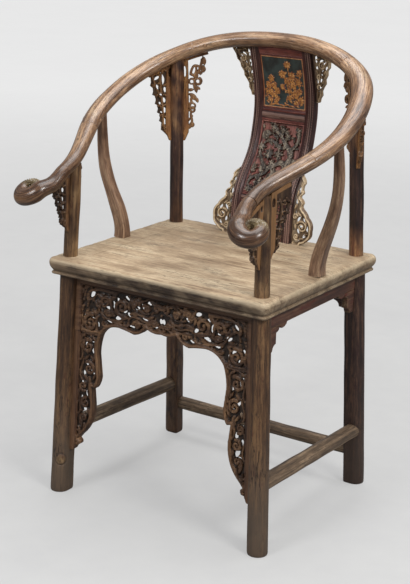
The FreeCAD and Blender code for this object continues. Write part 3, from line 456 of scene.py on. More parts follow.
SEAT_WOOD = worn_wood(
    "bleached seat wood", (116, 94, 70), (176, 153, 124), (206, 188, 158), polish=0.62, cracks=1.0,
    hollow=(56, 44, 34), relief=0.55, edge=0.4, streaks=0.86,
    second=((34, 25, 20), (64, 50, 40), (104, 86, 68)),
    patches=((5, 0.48, 0.62, 0.6, (138, 116, 92)),
             (9, 0.53, 0.66, 0.5, (112, 92, 74)), (16, 0.56, 0.68, 0.6, (98, 80, 62))))
BARE = worn_wood(
    "bare underside wood", (88, 66, 46), (120, 92, 66), (146, 116, 86), polish=0.7, packed=True)
APRON = worn_wood(
    "apron worn red lacquer", (44, 28, 22), (80, 53, 38), (112, 82, 58), lacquer=(76, 38, 28),
    amount=0.32, polish=0.48, hollow=(18, 13, 10), edge=0.5,
    second=((50, 33, 24), (92, 65, 45), (142, 108, 76)), relief=0.6)
PLAIN_APRON = worn_wood(
    "plain apron red lacquer", (46, 29, 24), (82, 52, 41), (116, 84, 64), lacquer=(88, 38, 30),
    amount=0.54, polish=0.5, hollow=(26, 19, 16),
    second=((78, 57, 41), (128, 102, 74), (160, 134, 104)))
SPLAT = worn_wood(
    "splat dark red lacquer", (34, 20, 20), (76, 46, 43), (138, 108, 96), lacquer=(56, 28, 28),
    amount=0.42, polish=0.40, hollow=(20, 13, 12), edge=0.75,
    second=((66, 27, 24), (106, 50, 43), (146, 90, 78)), relief=0.5)
RELIEF_PAINT = worn_wood(
    "carved panel paint", (28, 23, 20), (64, 53, 45), (150, 136, 118), polish=0.38,
    hollow=(12, 9, 8), edge=1.0, relief=0.5, second=((88, 42, 35), (134, 78, 69), (168, 116, 104)))
WING = worn_wood(
    "wing bronze lacquer", (84, 63, 44), (150, 124, 94), (208, 186, 152), lacquer=(84, 50, 38),
    amount=0.24, polish=0.42, hollow=(38, 27, 21), edge=0.9,
    second=((42, 29, 25), (72, 51, 43), (110, 86, 68)))
SPANDREL = worn_wood(
    "spandrel golden wood", (84, 50, 26), (144, 98, 54), (182, 136, 84), lacquer=(90, 44, 30),
    amount=0.26, polish=0.48, hollow=(26, 20, 16), edge=0.6,
    second=((48, 36, 26), (92, 70, 50), (148, 118, 82)), relief=0.5,
    patches=((22, 0.50, 0.64, 0.55, (92, 54, 36)),))
DARK_SPANDREL = worn_wood(
    "front spandrel wood", (42, 27, 19), (92, 62, 40), (156, 116, 76), lacquer=(72, 38, 30),
    amount=0.36, polish=0.46, hollow=(20, 15, 13), edge=0.6,
    second=((34, 27, 22), (68, 54, 42), (122, 102, 76)), relief=0.5,
    patches=((20, 0.48, 0.62, 0.7, (62, 40, 28)),))
print(len(bpy.data.materials), "finishes")

# %% [markdown]
# The painted panel has four paints: a dark green ground, a red border, gilding worn in specks and
# the thin gilt line of its frame. The "paint" value of each point says which one it has.

# %% Paint of the top panel


def painted():
    """Windows on the paint value pick border (0.3), gilding (0.6) or line (1) over the ground."""
    material, shader, tone = new_material("painted panel")
    paint, crown, grain = (tone.attribute("paint"), tone.attribute("crown"),
                           tone.attribute("grain", "Vector"))
    cloud = grain.stretched(40, 40, 40).noise(4.0, 0.6)
    speck = grain.stretched(420, 420, 420).noise(3.0, 0.6)
    lost = grain.stretched(190, 190, 190).noise(3.0, 0.6).window(0.55, 0.66)
    ground = cloud.window(0.35, 0.65).mix(colour(30, 33, 31), colour(52, 64, 62))
    red = cloud.window(0.35, 0.65).mix(colour(92, 40, 34), colour(128, 66, 56))
    gilt = speck.window(0.38, 0.62).mix(colour(128, 74, 34), colour(206, 146, 76))
    gilt = lost.mix(gilt, colour(118, 50, 38))
    gilt = speck.window(0.62, 0.70).mix(gilt, colour(226, 204, 164))
    line = cloud.window(0.3, 0.7).mix(colour(150, 84, 62), colour(206, 160, 110))
    tint = ground
    for start, layer in ((0.14, red), (0.44, gilt), (0.79, line)):
        tint = paint.window(start, start + 0.02).mix(tint, layer)
    # Painted shade: the sloping sides of the raised gilt, where the crown is low, turn dark brown.
    tint = crown.window(0.2, 0.8, 0.6, 0.0).mix(tint, colour(40, 26, 20))
    join(shader, {"Base Color": tint, "Roughness": cloud * 0.3 + 0.28,
                  "Normal": (speck + cloud).bump(0.4, 0.0006)})
    return material


PAINTED = painted()

# %% [markdown]
# The crest rail is five lengths of timber. At each joint the two ends are sawn to half their
# height and lie on each other, hooked and locked by a small wedge. The rail's surface is an oval
# carried along the curve. A joint only changes where a length ends: the upper half runs on
# past the lap's middle and the lower half stops short of it, or the other way about. Two columns of
# points share each side of the oval, so the step is square, and a fine groove marks the seam.

# %% Crest rail
RAIL_HALF_WIDTH = 21.5
RAIL_HALF_HEIGHT = 15.5
LAP_HALF = 28.0
BACK_LAP = 0.244 * HALF_RAIL
ARM_LAP = 0.735 * HALF_RAIL


def rail_size(distance):
    """Half width and half height of the oval: the arms grow slimmer towards the hands."""
    share = np.abs(distance) / HALF_RAIL
    wide = np.interp(share, [0.45, 0.72, 0.88, 1.0], [1.0, 0.89, 0.76, 0.65])
    tall = np.interp(share, [0.45, 0.72, 0.88, 1.0], [1.0, 0.96, 0.91, 0.87])
    return RAIL_HALF_WIDTH * wide, RAIL_HALF_HEIGHT * tall


def rail_length_piece(name, start, end, keep_start, keep_end, seed):
    """Oval of the rail; each side of a lap ends LAP_HALF before or after the lap's middle."""
    quarter = np.concatenate([[0, 0.016, 0.04, 0.09], np.linspace(0.18, np.pi / 2, 9)])
    half = np.concatenate([quarter, np.pi - quarter[-2::-1]])
    turn = np.concatenate([half, half + np.pi])
    top = np.repeat([1.0, -1.0], len(half))

    def ends(distance, keep, sign):
        """Where each point's half of the lap ends."""
        return distance + sign * keep * LAP_HALF * top

    first = ends(start, keep_start, -1)
    last = ends(end, keep_end, 1)
    fine = np.array([0, 0.25, 0.6, 1.4, 3.0])
    marks = [start + s * LAP_HALF * keep_start for s in (-1, 1)]
    marks += [end + s * LAP_HALF * keep_end for s in (-1, 1)]
    rows = [np.arange(start - LAP_HALF, end + LAP_HALF, 3.5)]
    rows += [mark + s * fine for mark in marks for s in (-1, 1)]
    rows = np.unique(np.concatenate(rows))
    run = np.clip(rows[:, None], first[None], last[None])
    origin, _, up, across = rail_place(run)
    side = np.minimum(np.abs(np.sin(turn)) * RAIL_HALF_WIDTH, 9.0)[None]
    gap = np.full(run.shape, 9.0)
    for middle, keep, edge in ((start, keep_start, first), (end, keep_end, last)):
        if keep or abs(middle) < HALF_RAIL - 1:
            gap = np.minimum(gap, np.abs(run - edge[None]))
            near = np.abs(run - middle) <= LAP_HALF
            gap = np.where(near, np.minimum(gap, side), gap)
    groove = np.exp(-((gap / 0.55) ** 2))
    shrink = 1 - 0.03 * groove
    wide, tall = rail_size(run)
    a = wide * np.cos(turn)[None] * shrink
    u = tall * np.sin(turn)[None] * shrink
    points = origin + across * a[..., None] + up * u[..., None]
    out = unit(across * a[..., None] + up * u[..., None])
    points = points + out * (0.35 * unevenness(points, 80.0, 4))[..., None]
    grain = np.stack([run, a, u], -1)
    crown = 1 - 0.5 * groove
    paint = np.clip((np.abs(run) / HALF_RAIL - 0.62) / 0.38, 0, 1)
    caps = []
    for row in (0, -1):
        shares = np.array([0.7, 0.35, 0.0])[:, None, None]
        middle = origin[row][None]
        cap_grain = shares * grain[row]
        cap_grain[..., 0] = run[row]
        caps.append((middle + shares * (points[row] - middle), cap_grain))
    points = np.concatenate([caps[0][0][::-1], points, caps[1][0]])
    grain = np.concatenate([caps[0][1][::-1], grain, caps[1][1]]) + [seed * 51.0, 0, 0]
    add_piece(name, points, ruled_faces(*points.shape[:2]), grain, capped(crown, 3), CREST,
              capped(paint, 3))


rail_length_piece("crest_back", -BACK_LAP, BACK_LAP, 1, 1, 1)
for name, side in (("right", 1), ("left", -1)):
    low, high = sorted((side * BACK_LAP, side * ARM_LAP))
    keeps = (-1, 1) if side > 0 else (1, -1)
    rail_length_piece("crest_bend_" + name, low, high, *keeps, 2 + side)
    low, high = sorted((side * ARM_LAP, side * HALF_RAIL))
    keeps = (-1, 0) if side > 0 else (0, -1)
    rail_length_piece("crest_arm_" + name, low, high, *keeps, 7 + side)


# %% [markdown]
# The wedges show only as small squares in the sides of the rail. Each is a tapering block with
# softly crowned ends, made from a stack of square rings.

# %% Wedges in the laps


def square_radius(c, s, power):
    """Radius that makes a circle a soft square: (|c| ** power + |s| ** power) ** (-1 / power)."""
    return (np.abs(c) ** power + np.abs(s) ** power) ** (-1 / power)


def ringed_square():
    """A square of half width 1 with soft corners, as 32 points."""
    turn = np.linspace(0, 2 * np.pi, 32, endpoint=False)
    c, s = np.cos(turn), np.sin(turn)
    return np.stack([c, s], -1) * square_radius(c, s, 6)[:, None]


def wedge_blocks():
    """Four blocks: rings set across the rail, from the thick outer end to the thin inner one."""
    across_steps = np.array([-1.022, -1.018, -0.99, 0, 0.99, 1.018, 1.022])
    sizes = np.array([0.0, 0.8, 1.0, 0.89, 0.78, 0.62, 0.0]) * 4.4
    points, faces, grain = [], [], []
    for distance in (-ARM_LAP, -BACK_LAP, BACK_LAP, ARM_LAP):
        origin, along, up, across = rail_place(distance)
        square = ringed_square()
        block = origin + across * across_steps[:, None, None] * rail_size(distance)[0]
        block = block + sizes[:, None, None] * (along * square[:, :1] + up * square[:, 1:])
        faces.append(ruled_faces(*block.shape[:2]) + sum(len(p) for p in points))
        points.append(block.reshape(-1, 3))
        grain.append(block.reshape(-1, 3)[:, [2, 0, 1]])
    return np.concatenate(points), np.concatenate(faces), np.concatenate(grain)


wedge_points, wedge_faces, wedge_grain = wedge_blocks()
add_piece("crest_wedges", wedge_points, wedge_faces, wedge_grain, 0.8, CREST)

# %% [markdown]
# A leg is one timber from the floor to the rail. Below the seat its outer side is round and its
# inner corner is square, which is how joiners leave it so that aprons can butt against a flat.
# Above the seat it is turned into a slimmer round post. The section is a circle whose inner
# quarter is pushed out into a soft square.

# %% Legs and their posts


PATCH_HEIGHT = 75.0  # an old hole in the front left leg, closed with a plug
PATCH_RADIUS = 12.5


def leg_surface(kind, side, finish, seed):
    """Rows of sections up the leg's axis; the inner quarter has the radius of a soft square."""
    foot, head = FOOT_RADIUS[kind], leg_head(kind)[2]
    turn = np.linspace(0, 2 * np.pi, 64, endpoint=False)
    c, s = np.cos(turn), np.sin(turn)
    square = np.where((c > -0.05) & (s > -0.05), square_radius(c, s, 9), 1.0)
    low = np.unique(np.concatenate([
        [0, 0.6, 2.2, 5.0], np.arange(12, 472, 8.0), [477.0], np.arange(54, 96, 2.0)]))
    shrink = np.interp(low, [0, 0.6, 2.2, 5.0, 12], [0.90, 0.955, 0.985, 0.998, 1.0])
    radius = (foot + (SHOULDER_RADIUS - foot) * low / SEAT_UNDERSIDE) * shrink
    upper = np.concatenate([[477.1, 484.0], np.arange(490, head - 4, 8.0)])
    slim = np.interp(upper, [0, head - 45, head], [POST_RADIUS, POST_RADIUS, 13.0])
    shape = np.concatenate([radius[:, None] * square, np.repeat(slim[:, None], 64, 1)])
    heights = np.concatenate([low, upper])
    level = np.broadcast_to(heights[:, None], shape.shape)
    inward = 1 if kind == "front" else -1
    offsets = np.stack([-shape * c, inward * shape * s], -1)
    ring = patched = np.zeros_like(shape)
    if kind == "front" and side == "left":
        spot = np.array([-0.55, -0.83]) * foot
        away = np.hypot(np.linalg.norm(offsets - spot, axis=-1), level - PATCH_HEIGHT)
        ring = np.exp(-(((away - PATCH_RADIUS) / 2.0) ** 2))
        patched = np.clip(1 - away / PATCH_RADIUS, 0, 1) ** 0.4
        rough_end = unevenness(np.concatenate([offsets, level[..., None]], -1), 5.0, 3)
        shape = shape - 1.3 * ring + (1.6 + 0.5 * rough_end) * patched
        offsets = np.stack([-shape * c, inward * shape * s], -1)
    blotch = unevenness(np.concatenate([offsets * 1.5, level[..., None]], -1), 34.0, seed)
    golden = (side == "left") == (kind == "front")
    worn = np.clip((575 - level) / 50, 0, 1) * (level > 500) * (1 + 0.5 * blotch)
    worn = worn * (0.9 if golden else 0.35)
    if kind == "front":
        worn = worn + np.clip((level - 560) / 40, 0, 1) * np.clip(0.25 + 0.6 * blotch, 0, 0.7)
    else:
        worn = worn + np.clip((level - 700) / 40, 0, 1) * np.clip(0.4 + 0.5 * blotch, 0, 0.85)
        # The rear left leg is also made lighter all over below the seat.
        worn = worn + 0.40 * (level < 480) * (side == "left")
    crown = 1 - 0.5 * np.clip(1 - level / 6.0, 0, 1) - 0.7 * ring
    swept(f"leg_{kind}_{side}", leg_axis(kind, heights), [0, 1.0, 0], [1.0, 0, 0], offsets, heights,
          finish, mirror=side == "left", rough=0.45, seed=seed, crown=crown,
          paint=np.clip(np.maximum(worn, patched), 0, 1))


for kind, finish, seed in (("front", FRONT_LEG, 11), ("rear", REAR_LEG, 12)):
    leg_surface(kind, "right", finish, seed)
    leg_surface(kind, "left", finish, seed + 2)

# %% [markdown]
# Stretchers are plain round bars between the legs. Feet have rubbed them, so their tops are a
# little flatter. The bars end inside the legs.

# %% Stretchers


def bar(name, start, end, radius, seed):
    """A circle carried along a straight run, flattened a little on top in the middle."""
    share = np.linspace(0, 1, 70)
    centres = start + (end - start) * share[:, None]
    along = unit(end - start)
    across = unit(np.cross(along, [0, 0, 1.0]))
    turn = np.linspace(0, 2 * np.pi, 40, endpoint=False)
    flat = 1 - 0.06 * np.sin(np.pi * share)[:, None] * np.clip(np.sin(turn), 0, 1)[None] ** 2
    offsets = radius * np.stack([np.cos(turn) * flat, np.sin(turn) * flat], -1)
    swept(name, centres, np.cross(across, along), across, offsets,
          share * np.linalg.norm(end - start), STRETCHER, rough=0.4, seed=seed)


flip = np.array([-1, 1, 1])
bar("stretcher_right", leg_axis("front", 139.0), leg_axis("rear", 123.0), 15.8, 21)
bar("stretcher_left", leg_axis("front", 139.0) * flip, leg_axis("rear", 123.0) * flip, 15.8, 22)
bar("stretcher_rear", leg_axis("rear", 74.5) * flip, leg_axis("rear", 74.5), 14.3, 23)

# %% [markdown]
# The seat is a mitred frame with a floating panel. Its edge swells to a soft nose and runs back
# to a small bead below. One profile, drawn as distance in from the edge and drop from the top, is
# carried round the frame; where it turns a corner its points run round a small arc.

# %% Seat frame
SEAT_HALF = float(leg_axis("front", SEAT)[0]) + 32.0
SEAT_FRONT = float(leg_axis("front", SEAT)[1]) - 37.0
SEAT_BACK = float(leg_axis("rear", SEAT)[1]) + 38.0
CORNER = 14.0
FRAME_WIDTH = 64.0
EDGE_PROFILE = np.array([
    (64, 0), (50, 0), (30, 0.05), (18, 0.15), (11, 0.4), (7.5, 1), (4.6, 2.1),
    (2.2, 4), (0.7, 6.8), (0, 10.4), (0.2, 14.4), (1.3, 18.4), (3.4, 22.2), (6.2, 25.4),
    (7.9, 27.2), (7.9, 28.9), (6, 29.8), (4.9, 31), (4.8, 32.6), (5.6, 34), (7.4, 34.9),
    (10, 35), (22, 35.3), (22.5, 39.8), (30, 40), (64, 40),
])


def edge_rows(near, far, side, swap):
    """A profile along one side: straight between the corner arcs, round them up to the mitre."""
    inset, drop = EDGE_PROFILE.T
    edge = far - CORNER
    turned = np.linspace(0, np.pi / 4, 9)[1:, None]
    radius = np.maximum(CORNER - inset, 0)
    beyond = np.maximum(inset - CORNER, 0)
    arc = np.stack([edge + radius * np.sin(turned) - beyond,
                    inset + radius * (1 - np.cos(turned))], -1)
    straight = np.linspace(-1, 1, 150)[:, None] * (edge - beyond)
    middle = np.stack([straight, np.broadcast_to(inset, straight.shape)], -1)
    rows = np.concatenate([arc[::-1] * [-1, 1], middle, arc])
    run, away = rows[..., 0], side * (near - rows[..., 1])
    z = np.broadcast_to(SEAT - drop, run.shape)
    return np.stack([away, run, z] if swap else [run, away, z], -1)


def mitred_rail(name, x_side, y_side):
    """Sets the rows in their place on the chair, wears the edge and closes the mitres."""
    middle_y = (SEAT_FRONT + SEAT_BACK) / 2
    half_depth = (SEAT_BACK - SEAT_FRONT) / 2
    if y_side:
        points = edge_rows(half_depth, SEAT_HALF, y_side, False)
    else:
        points = edge_rows(SEAT_HALF, half_depth, x_side, True)
    points = points + [0, middle_y, 0]
    inset, profile_drop = EDGE_PROFILE.T
    drop = SEAT - points[..., 2]
    out = np.stack([points[..., 0], points[..., 1] - middle_y, 0 * drop], -1)
    nose = np.exp(-((inset - 3.0) / 7.0) ** 2)[None] * (drop > 0.3)
    wear = unevenness(points, 38.0, 5) * 0.6 + unevenness(points, 13.0, 6) * 0.5
    points[..., 2] -= nose * np.clip(wear + 0.4, 0, 2) * (drop < 12)
    points = points - unit(out + 1e-9) * (nose * np.clip(wear + 0.3, 0, 2) * 0.5)[..., None]
    # Painted highlight on the nose and painted shade in the cove under it and below the bead,
    # through the crown values.
    crown = np.interp(profile_drop, [0, 0.4, 3, 10, 22, 27.6, 30, 33, 36],
                      [0.72, 0.8, 1.0, 0.95, 0.62, 0.30, 0.7, 0.8, 0.30])
    gaps = (SEAT_HALF - np.abs(points[..., 0]), half_depth - np.abs(points[..., 1] - middle_y))
    near_corner = (np.abs(gaps[0] - gaps[1]) / 34.0) ** 2 + (np.maximum(*gaps) / 45.0) ** 2
    # The face below the nose turns to the dark second shades: fully on the front and back rails,
    # about half as much on the sides, less near the corners.
    dark = np.clip((profile_drop - 2.5) / 6.0, 0, 1)[None] * (1.0 if y_side else 0.55)
    paint = dark * (1 - 0.55 * np.exp(-near_corner))
    paint = np.clip(paint + dark * 0.35 * (wear - 0.3), 0, 1)
    ends = [np.broadcast_to(row.mean(0), row.shape)[None] for row in (points[0], points[-1])]
    points = np.concatenate([ends[0], points, ends[1]])
    add_piece(name, points, ruled_faces(*points.shape[:2]), points,
              capped(np.broadcast_to(crown, drop.shape)), SEAT_WOOD, capped(paint))


mitred_rail("seat_rail_front", 0, -1)
mitred_rail("seat_rail_rear", 0, 1)
mitred_rail("seat_rail_right", 1, 0)
mitred_rail("seat_rail_left", -1, 0)

# %% [markdown]
# The panel is a thin board that floats between the rails, so that it can swell and shrink. Long
# use has hollowed its top a little and left two dark stains. The battens under it aren't seen, so
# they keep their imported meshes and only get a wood.

# %% Seat panel and battens
PANEL_INSET = FRAME_WIDTH + 0.12
PANEL_THICKNESS = 12.0


def seat_panel():
    """A board whose top is a closed grid, a touch hollow in the middle where people sat."""
    half = SEAT_HALF - PANEL_INSET
    front, back = SEAT_FRONT + PANEL_INSET, SEAT_BACK - PANEL_INSET
    middle, half_depth = (front + back) / 2, (back - front) / 2
    u = np.concatenate([[-1, -0.9985], np.linspace(-0.995, 0.995, 90), [0.9985, 1]])
    x, y = np.meshgrid(u * half, middle + u * half_depth, indexing="ij")
    bowl = (1 - (x / half) ** 2) * (1 - ((y - middle) / half_depth) ** 2)
    rim = np.maximum(np.abs(u)[:, None], np.abs(u)[None])
    top = np.stack([x, y, SEAT - 0.7 * bowl - 0.35 * (rim > 0.997)], -1)
    under = np.stack([x, y, np.full_like(x, SEAT - PANEL_THICKNESS)], -1)
    size = len(u)
    faces = ruled_faces(size, size, ring=False)
    count = size * size
    points = np.concatenate([top.reshape(-1, 3), under.reshape(-1, 3)])
    border = np.concatenate([
        np.arange(size) * size, (size - 1) * size + np.arange(1, size),
        (np.arange(size - 2, -1, -1)) * size + size - 1, np.arange(size - 2, 0, -1),
    ])
    following = np.roll(border, -1)
    walls = np.stack([border, following, following + count, border + count], -1)
    faces = np.concatenate([faces, faces[:, ::-1] + count, walls])
    stain = np.exp(-(((points[:, 0] + 100) / 95) ** 2 + ((points[:, 1] - 130) / 50) ** 2) ** 1.5)
    stain += 0.7 * np.exp(-(((points[:, 0] - 60) / 80) ** 2 + ((points[:, 1] + 40) / 30) ** 2))
    cloudy = np.clip(0.5 + 0.9 * unevenness(points * [0.5, 1.6, 1], 40.0, 9), 0, 1)
    add_piece("seat_panel", points, faces, points, 0.72, SEAT_WOOD, 0.34 * stain * cloudy)


seat_panel()
for node in ("seat_batten_left", "seat_batten_right"):
    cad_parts[node].data.materials.clear()
    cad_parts[node].data.materials.append(BARE)

# %% [markdown]
# Pierced and carved boards share one method. A board is a fine grid over its drawing. A function
# says how deep each point lies inside the wood, negative outside; squares outside are dropped and
# the border's points slide onto the outline. A second function raises the carving. The back is a
# flatter copy and a wall joins the two. The carving is drawn with strokes: scrolls, stems and
# leaves, each a line with a changing half width and a rounded back.

# %% Outlines


def bulged(points):
    """A polygon from (x, z, bulge) corners: a bulge bends the next stretch into a circle's arc."""
    outline = []
    for (x0, z0, bulge), (x1, z1, _) in zip(points, points[1:]):
        share = np.linspace(0, 1, 9)[:-1] if bulge else np.zeros(1)
        rise = bulge * 4 * share * (1 - share)
        outline.append(np.stack([x0 + (x1 - x0) * share - (z1 - z0) * rise,
                                 z0 + (z1 - z0) * share + (x1 - x0) * rise], -1))
    outline.append(np.array([points[-1][:2]]))
    return np.concatenate(outline)


def nearest(places, start, edge):
    """The nearest point of each straight stretch: its share of the length and how far off it is."""
    share = np.clip(((places - start) * edge).sum(-1) / ((edge**2).sum(-1) + 1e-12), 0, 1)
    return share, np.linalg.norm(places - start - share[..., None] * edge, axis=-1)


def inside(polygon, x, z):
    """Distance to a closed polygon, positive within: nearest stretch, sign by crossings."""
    a = np.asarray(polygon, float)
    b = np.roll(a, -1, axis=0)
    p = np.stack([x, z], -1).reshape(-1, 1, 2)
    best = np.full(len(p), 1e9)
    odd = np.zeros(len(p), bool)
    for k in range(0, len(a), 16):
        start, stop = a[None, k:k + 16], b[None, k:k + 16]
        edge = stop - start
        best = np.minimum(best, nearest(p, start, edge)[1].min(1))
        above = (start[..., 1] > p[..., 1]) != (stop[..., 1] > p[..., 1])
        rise = np.where(np.abs(edge[..., 1]) < 1e-12, 1e-12, edge[..., 1])
        cross = start[..., 0] + (p[..., 1] - start[..., 1]) * edge[..., 0] / rise
        odd ^= (np.sum(above & (p[..., 0] < cross), axis=1) % 2).astype(bool)
    return np.where(odd, best, -best).reshape(x.shape)


# %% [markdown]
# Each kind of stroke is a line, the half widths along it and a height. "drawn" then asks, for each
# point of a board, which stroke it lies in and how high that stroke's rounded back stands there.

# %% Strokes


def scroll(x, z, radius, start, turns, width=3.4, inner=0.2, hand=1, height=1.0):
    """A spiral: its radius shrinks as the angle runs on, and it ends in a round eye."""
    share = np.linspace(0, 1, int(26 * turns) + 6)
    reach = radius * (1 - (1 - inner) * share**0.85)
    angle = math.radians(start) + hand * 2 * np.pi * turns * share
    line = np.stack([x + reach * np.cos(angle), z + reach * np.sin(angle)], -1)
    widths = width * (1 - 0.45 * share)
    widths[-1] = width * 0.95
    return line, widths, height


def stem(points, start_width=2.6, end_width=1.6, height=0.8):
    """A smooth stem through a few points that thins towards its end."""
    line = smooth_line(points, 200) if len(points) > 3 else None
    if line is None:
        share = np.linspace(0, 1, 14)[:, None]
        p = np.asarray(points, float)
        middle = p[1] if len(p) == 3 else (p[0] + p[-1]) / 2
        bend = 2 * middle - (p[0] + p[-1]) / 2
        curve = (1 - share) ** 2 * p[0] + 2 * share * (1 - share) * bend + share**2 * p[-1]
    else:
        curve = along_line(line, np.linspace(0, line[0][-1], 26))
    return curve, np.linspace(start_width, end_width, len(curve)), height


def leaf(x, z, length, width, turn, bend=0.25, height=0.9):
    """A leaf: a bent line whose half width swells as a sine and ends in points."""
    share = np.linspace(0, 1, 12)
    t = math.radians(turn)
    along = (share - 0.5) * length
    side = bend * length * (0.25 - (share - 0.5) ** 2)
    line = np.stack([x + along * math.cos(t) - side * math.sin(t),
                     z + along * math.sin(t) + side * math.cos(t)], -1)
    return line, width * np.sin(np.pi * np.clip(share, 0.04, 0.96)) ** 0.8, height


def leaves(*rows):
    """Several leaves, each from its row of numbers."""
    return [leaf(*row) for row in rows]


def bead(x, z, radius, height=1.0):
    """A round bud."""
    return np.array([[x - 0.01, z], [x + 0.01, z]]), np.array([radius, radius]), height


def drawn(strokes, x, z):
    """For each point: how deep inside any stroke it lies, the carving's height, and its crown."""
    depth = np.full(x.shape, -1e3)
    height = np.zeros(x.shape)
    crown = np.zeros(x.shape)
    for line, widths, top in strokes:
        reach = widths.max() + 6.0
        low, high = line.min(0) - reach, line.max(0) + reach
        near = (x > low[0]) & (x < high[0]) & (z > low[1]) & (z < high[1])
        if not near.any():
            continue
        p = np.stack([x[near], z[near]], -1)[:, None]
        start, edge = line[None, :-1], np.diff(line, axis=0)[None]
        share, away = nearest(p, start, edge)
        half = widths[None, :-1] + share * np.diff(widths)[None]
        pick = np.arange(len(half)), (half - away).argmax(1)
        half, away = half[pick], away[pick]
        ratio, within = away / half, half - away
        back = np.sqrt(np.clip(1 - ratio**2, 0, 1))
        vein = 0.16 * np.exp(-((ratio / 0.30) ** 2)) * (half > 2.2)
        lift = top * (0.35 + 0.65 * back - vein) * (within > 0)
        depth[near] = np.maximum(depth[near], within)
        taller = lift > height[near]
        height[near] = np.where(taller, lift, height[near])
        crown[near] = np.where(taller, top * back * (1 - vein * 2.2), crown[near])
    return depth, height, crown


# %% [markdown]
# The board itself: the strokes say what is wood and how high it stands, and the grid follows.

# %% Boards on a grid


def carved_board(name, span, step, solid, carving, place, finish, grain_axis=0, seed=1,
                 back_paint=None):
    """Grid squares whose middle is inside the wood; border points slide to where solid is zero."""
    (x0, x1), (z0, z1) = span
    columns = max(int(round((x1 - x0) / step)), 2)
    rows = max(int(round((z1 - z0) / step)), 2)
    x, z = np.meshgrid(np.linspace(x0, x1, columns + 1), np.linspace(z0, z1, rows + 1))
    inner = solid(x, z)
    cell = (inner[:-1, :-1] + inner[1:, :-1] + inner[:-1, 1:] + inner[1:, 1:]) > 0
    padded = np.pad(cell, 1)
    around = [padded[:-1, :-1], padded[1:, :-1], padded[:-1, 1:], padded[1:, 1:]]
    used = np.any(around, axis=0)
    border = used & ~np.all(around, axis=0)
    for _ in range(2):
        eps = 0.2
        value = solid(x, z)
        gx = (solid(x + eps, z) - solid(x - eps, z)) / (2 * eps)
        gz = (solid(x, z + eps) - solid(x, z - eps)) / (2 * eps)
        push = np.clip(value / (gx**2 + gz**2 + 0.05), -0.7 * step, 0.7 * step) * border
        x = np.clip(x - push * gx, x0, x1)
        z = np.clip(z - push * gz, z0, z1)
    front, back, crown, paint = carving(x, z)
    number = np.cumsum(used.ravel()).reshape(used.shape) - 1
    count = int(used.sum())
    r, c = np.nonzero(cell)
    quads = np.stack([number[r, c], number[r, c + 1], number[r + 1, c + 1], number[r + 1, c]], -1)
    walls = []
    for shift, first, second in (((-1, 0), (0, 0), (0, 1)), ((1, 0), (1, 1), (1, 0)),
                                 ((0, -1), (1, 0), (0, 0)), ((0, 1), (0, 1), (1, 1))):
        open_side = cell & ~padded[1 + shift[0]:padded.shape[0] - 1 + shift[0],
                                   1 + shift[1]:padded.shape[1] - 1 + shift[1]]
        r, c = np.nonzero(open_side)
        a = number[r + first[0], c + first[1]]
        b = number[r + second[0], c + second[1]]
        walls.append(np.stack([a, a + count, b + count, b], -1))
    x, z, front, back, crown, paint = (
        np.broadcast_to(value, used.shape)[used] for value in (x, z, front, back, crown, paint))
    points = np.concatenate([place(x, z, front), place(x, z, back)])
    faces = np.concatenate([quads, quads[:, ::-1] + count] + walls)
    flat = [x, z] if grain_axis == 0 else [z, x]
    grain = np.concatenate([np.stack(flat + [depth], -1) for depth in (front, back)])
    back_crown = np.minimum(crown, 0.7) * 0.5 + 0.3 if back_paint is None else 0.75 + 0 * crown
    plain = paint if back_paint is None else np.full_like(paint, back_paint)
    add_piece(name, points, faces, grain + [seed * 41.0, 0, 0], np.concatenate([crown, back_crown]),
              finish, np.concatenate([paint, plain]), 62.0)


# %% [markdown]
# The front apron is an arch of openwork: plain strips beside the legs and under the seat, a raised
# rim along the arch, and between them scrolls, volutes and leaves on a sunk ground, darkened as
# painted shade, that is pierced where the scrolls leave room. It is three boards, with seams across
# the two sides.
# The design is drawn once for the right half and mirrored by drawing at |x|.

# %% Front apron: the drawing
ARCH = [
    (0, 0.783, -0.1), (0.221, 0.796, -0.11), (0.405, 0.747, 0.02), (0.644, 0.764, 0.13),
    (0.899, 0.703, 0.05), (0.951, 0.583, 0), (0.917, 0.459, -0.05), (0.963, 0.4, 0),
    (0.981, 0.389, 0), (1.03, 0.395, 0), (1.006, 0.293, -0.05), (1.055, 0.18, -0.05),
    (1.196, 0.097, 0), (1.239, 0.073, 0), (1.208, 0.059, 0), (1.211, 0.044, 0),
    (1.245, 0.033, 0), (1.276, 0.029, 0), (1.3, 0.008, 0), (1.315, 0, 0),
]
APRON_FOOT = 0.202 * SEAT_UNDERSIDE
APRON_SPAN = SEAT_UNDERSIDE - APRON_FOOT
APRON_HALF = 0.666 * FRONT_FOOT[0]
APRON_SEAM = APRON_FOOT + 0.694 * APRON_SPAN
arch_line = bulged([(x * APRON_HALF, APRON_FOOT + z * APRON_SPAN, b) for x, z, b in ARCH])
far_corner = [(250.0, APRON_FOOT), (250.0, 480.0)]
apron_outline = np.concatenate([arch_line, far_corner, [(-250, 480)], [(-250, APRON_FOOT)],
                                (arch_line * [-1, 1])[:0:-1]])
arch_void = np.concatenate([arch_line, [(arch_line[-1, 0], 0)], [(-arch_line[-1, 0], 0)],
                            (arch_line * [-1, 1])[:0:-1]])
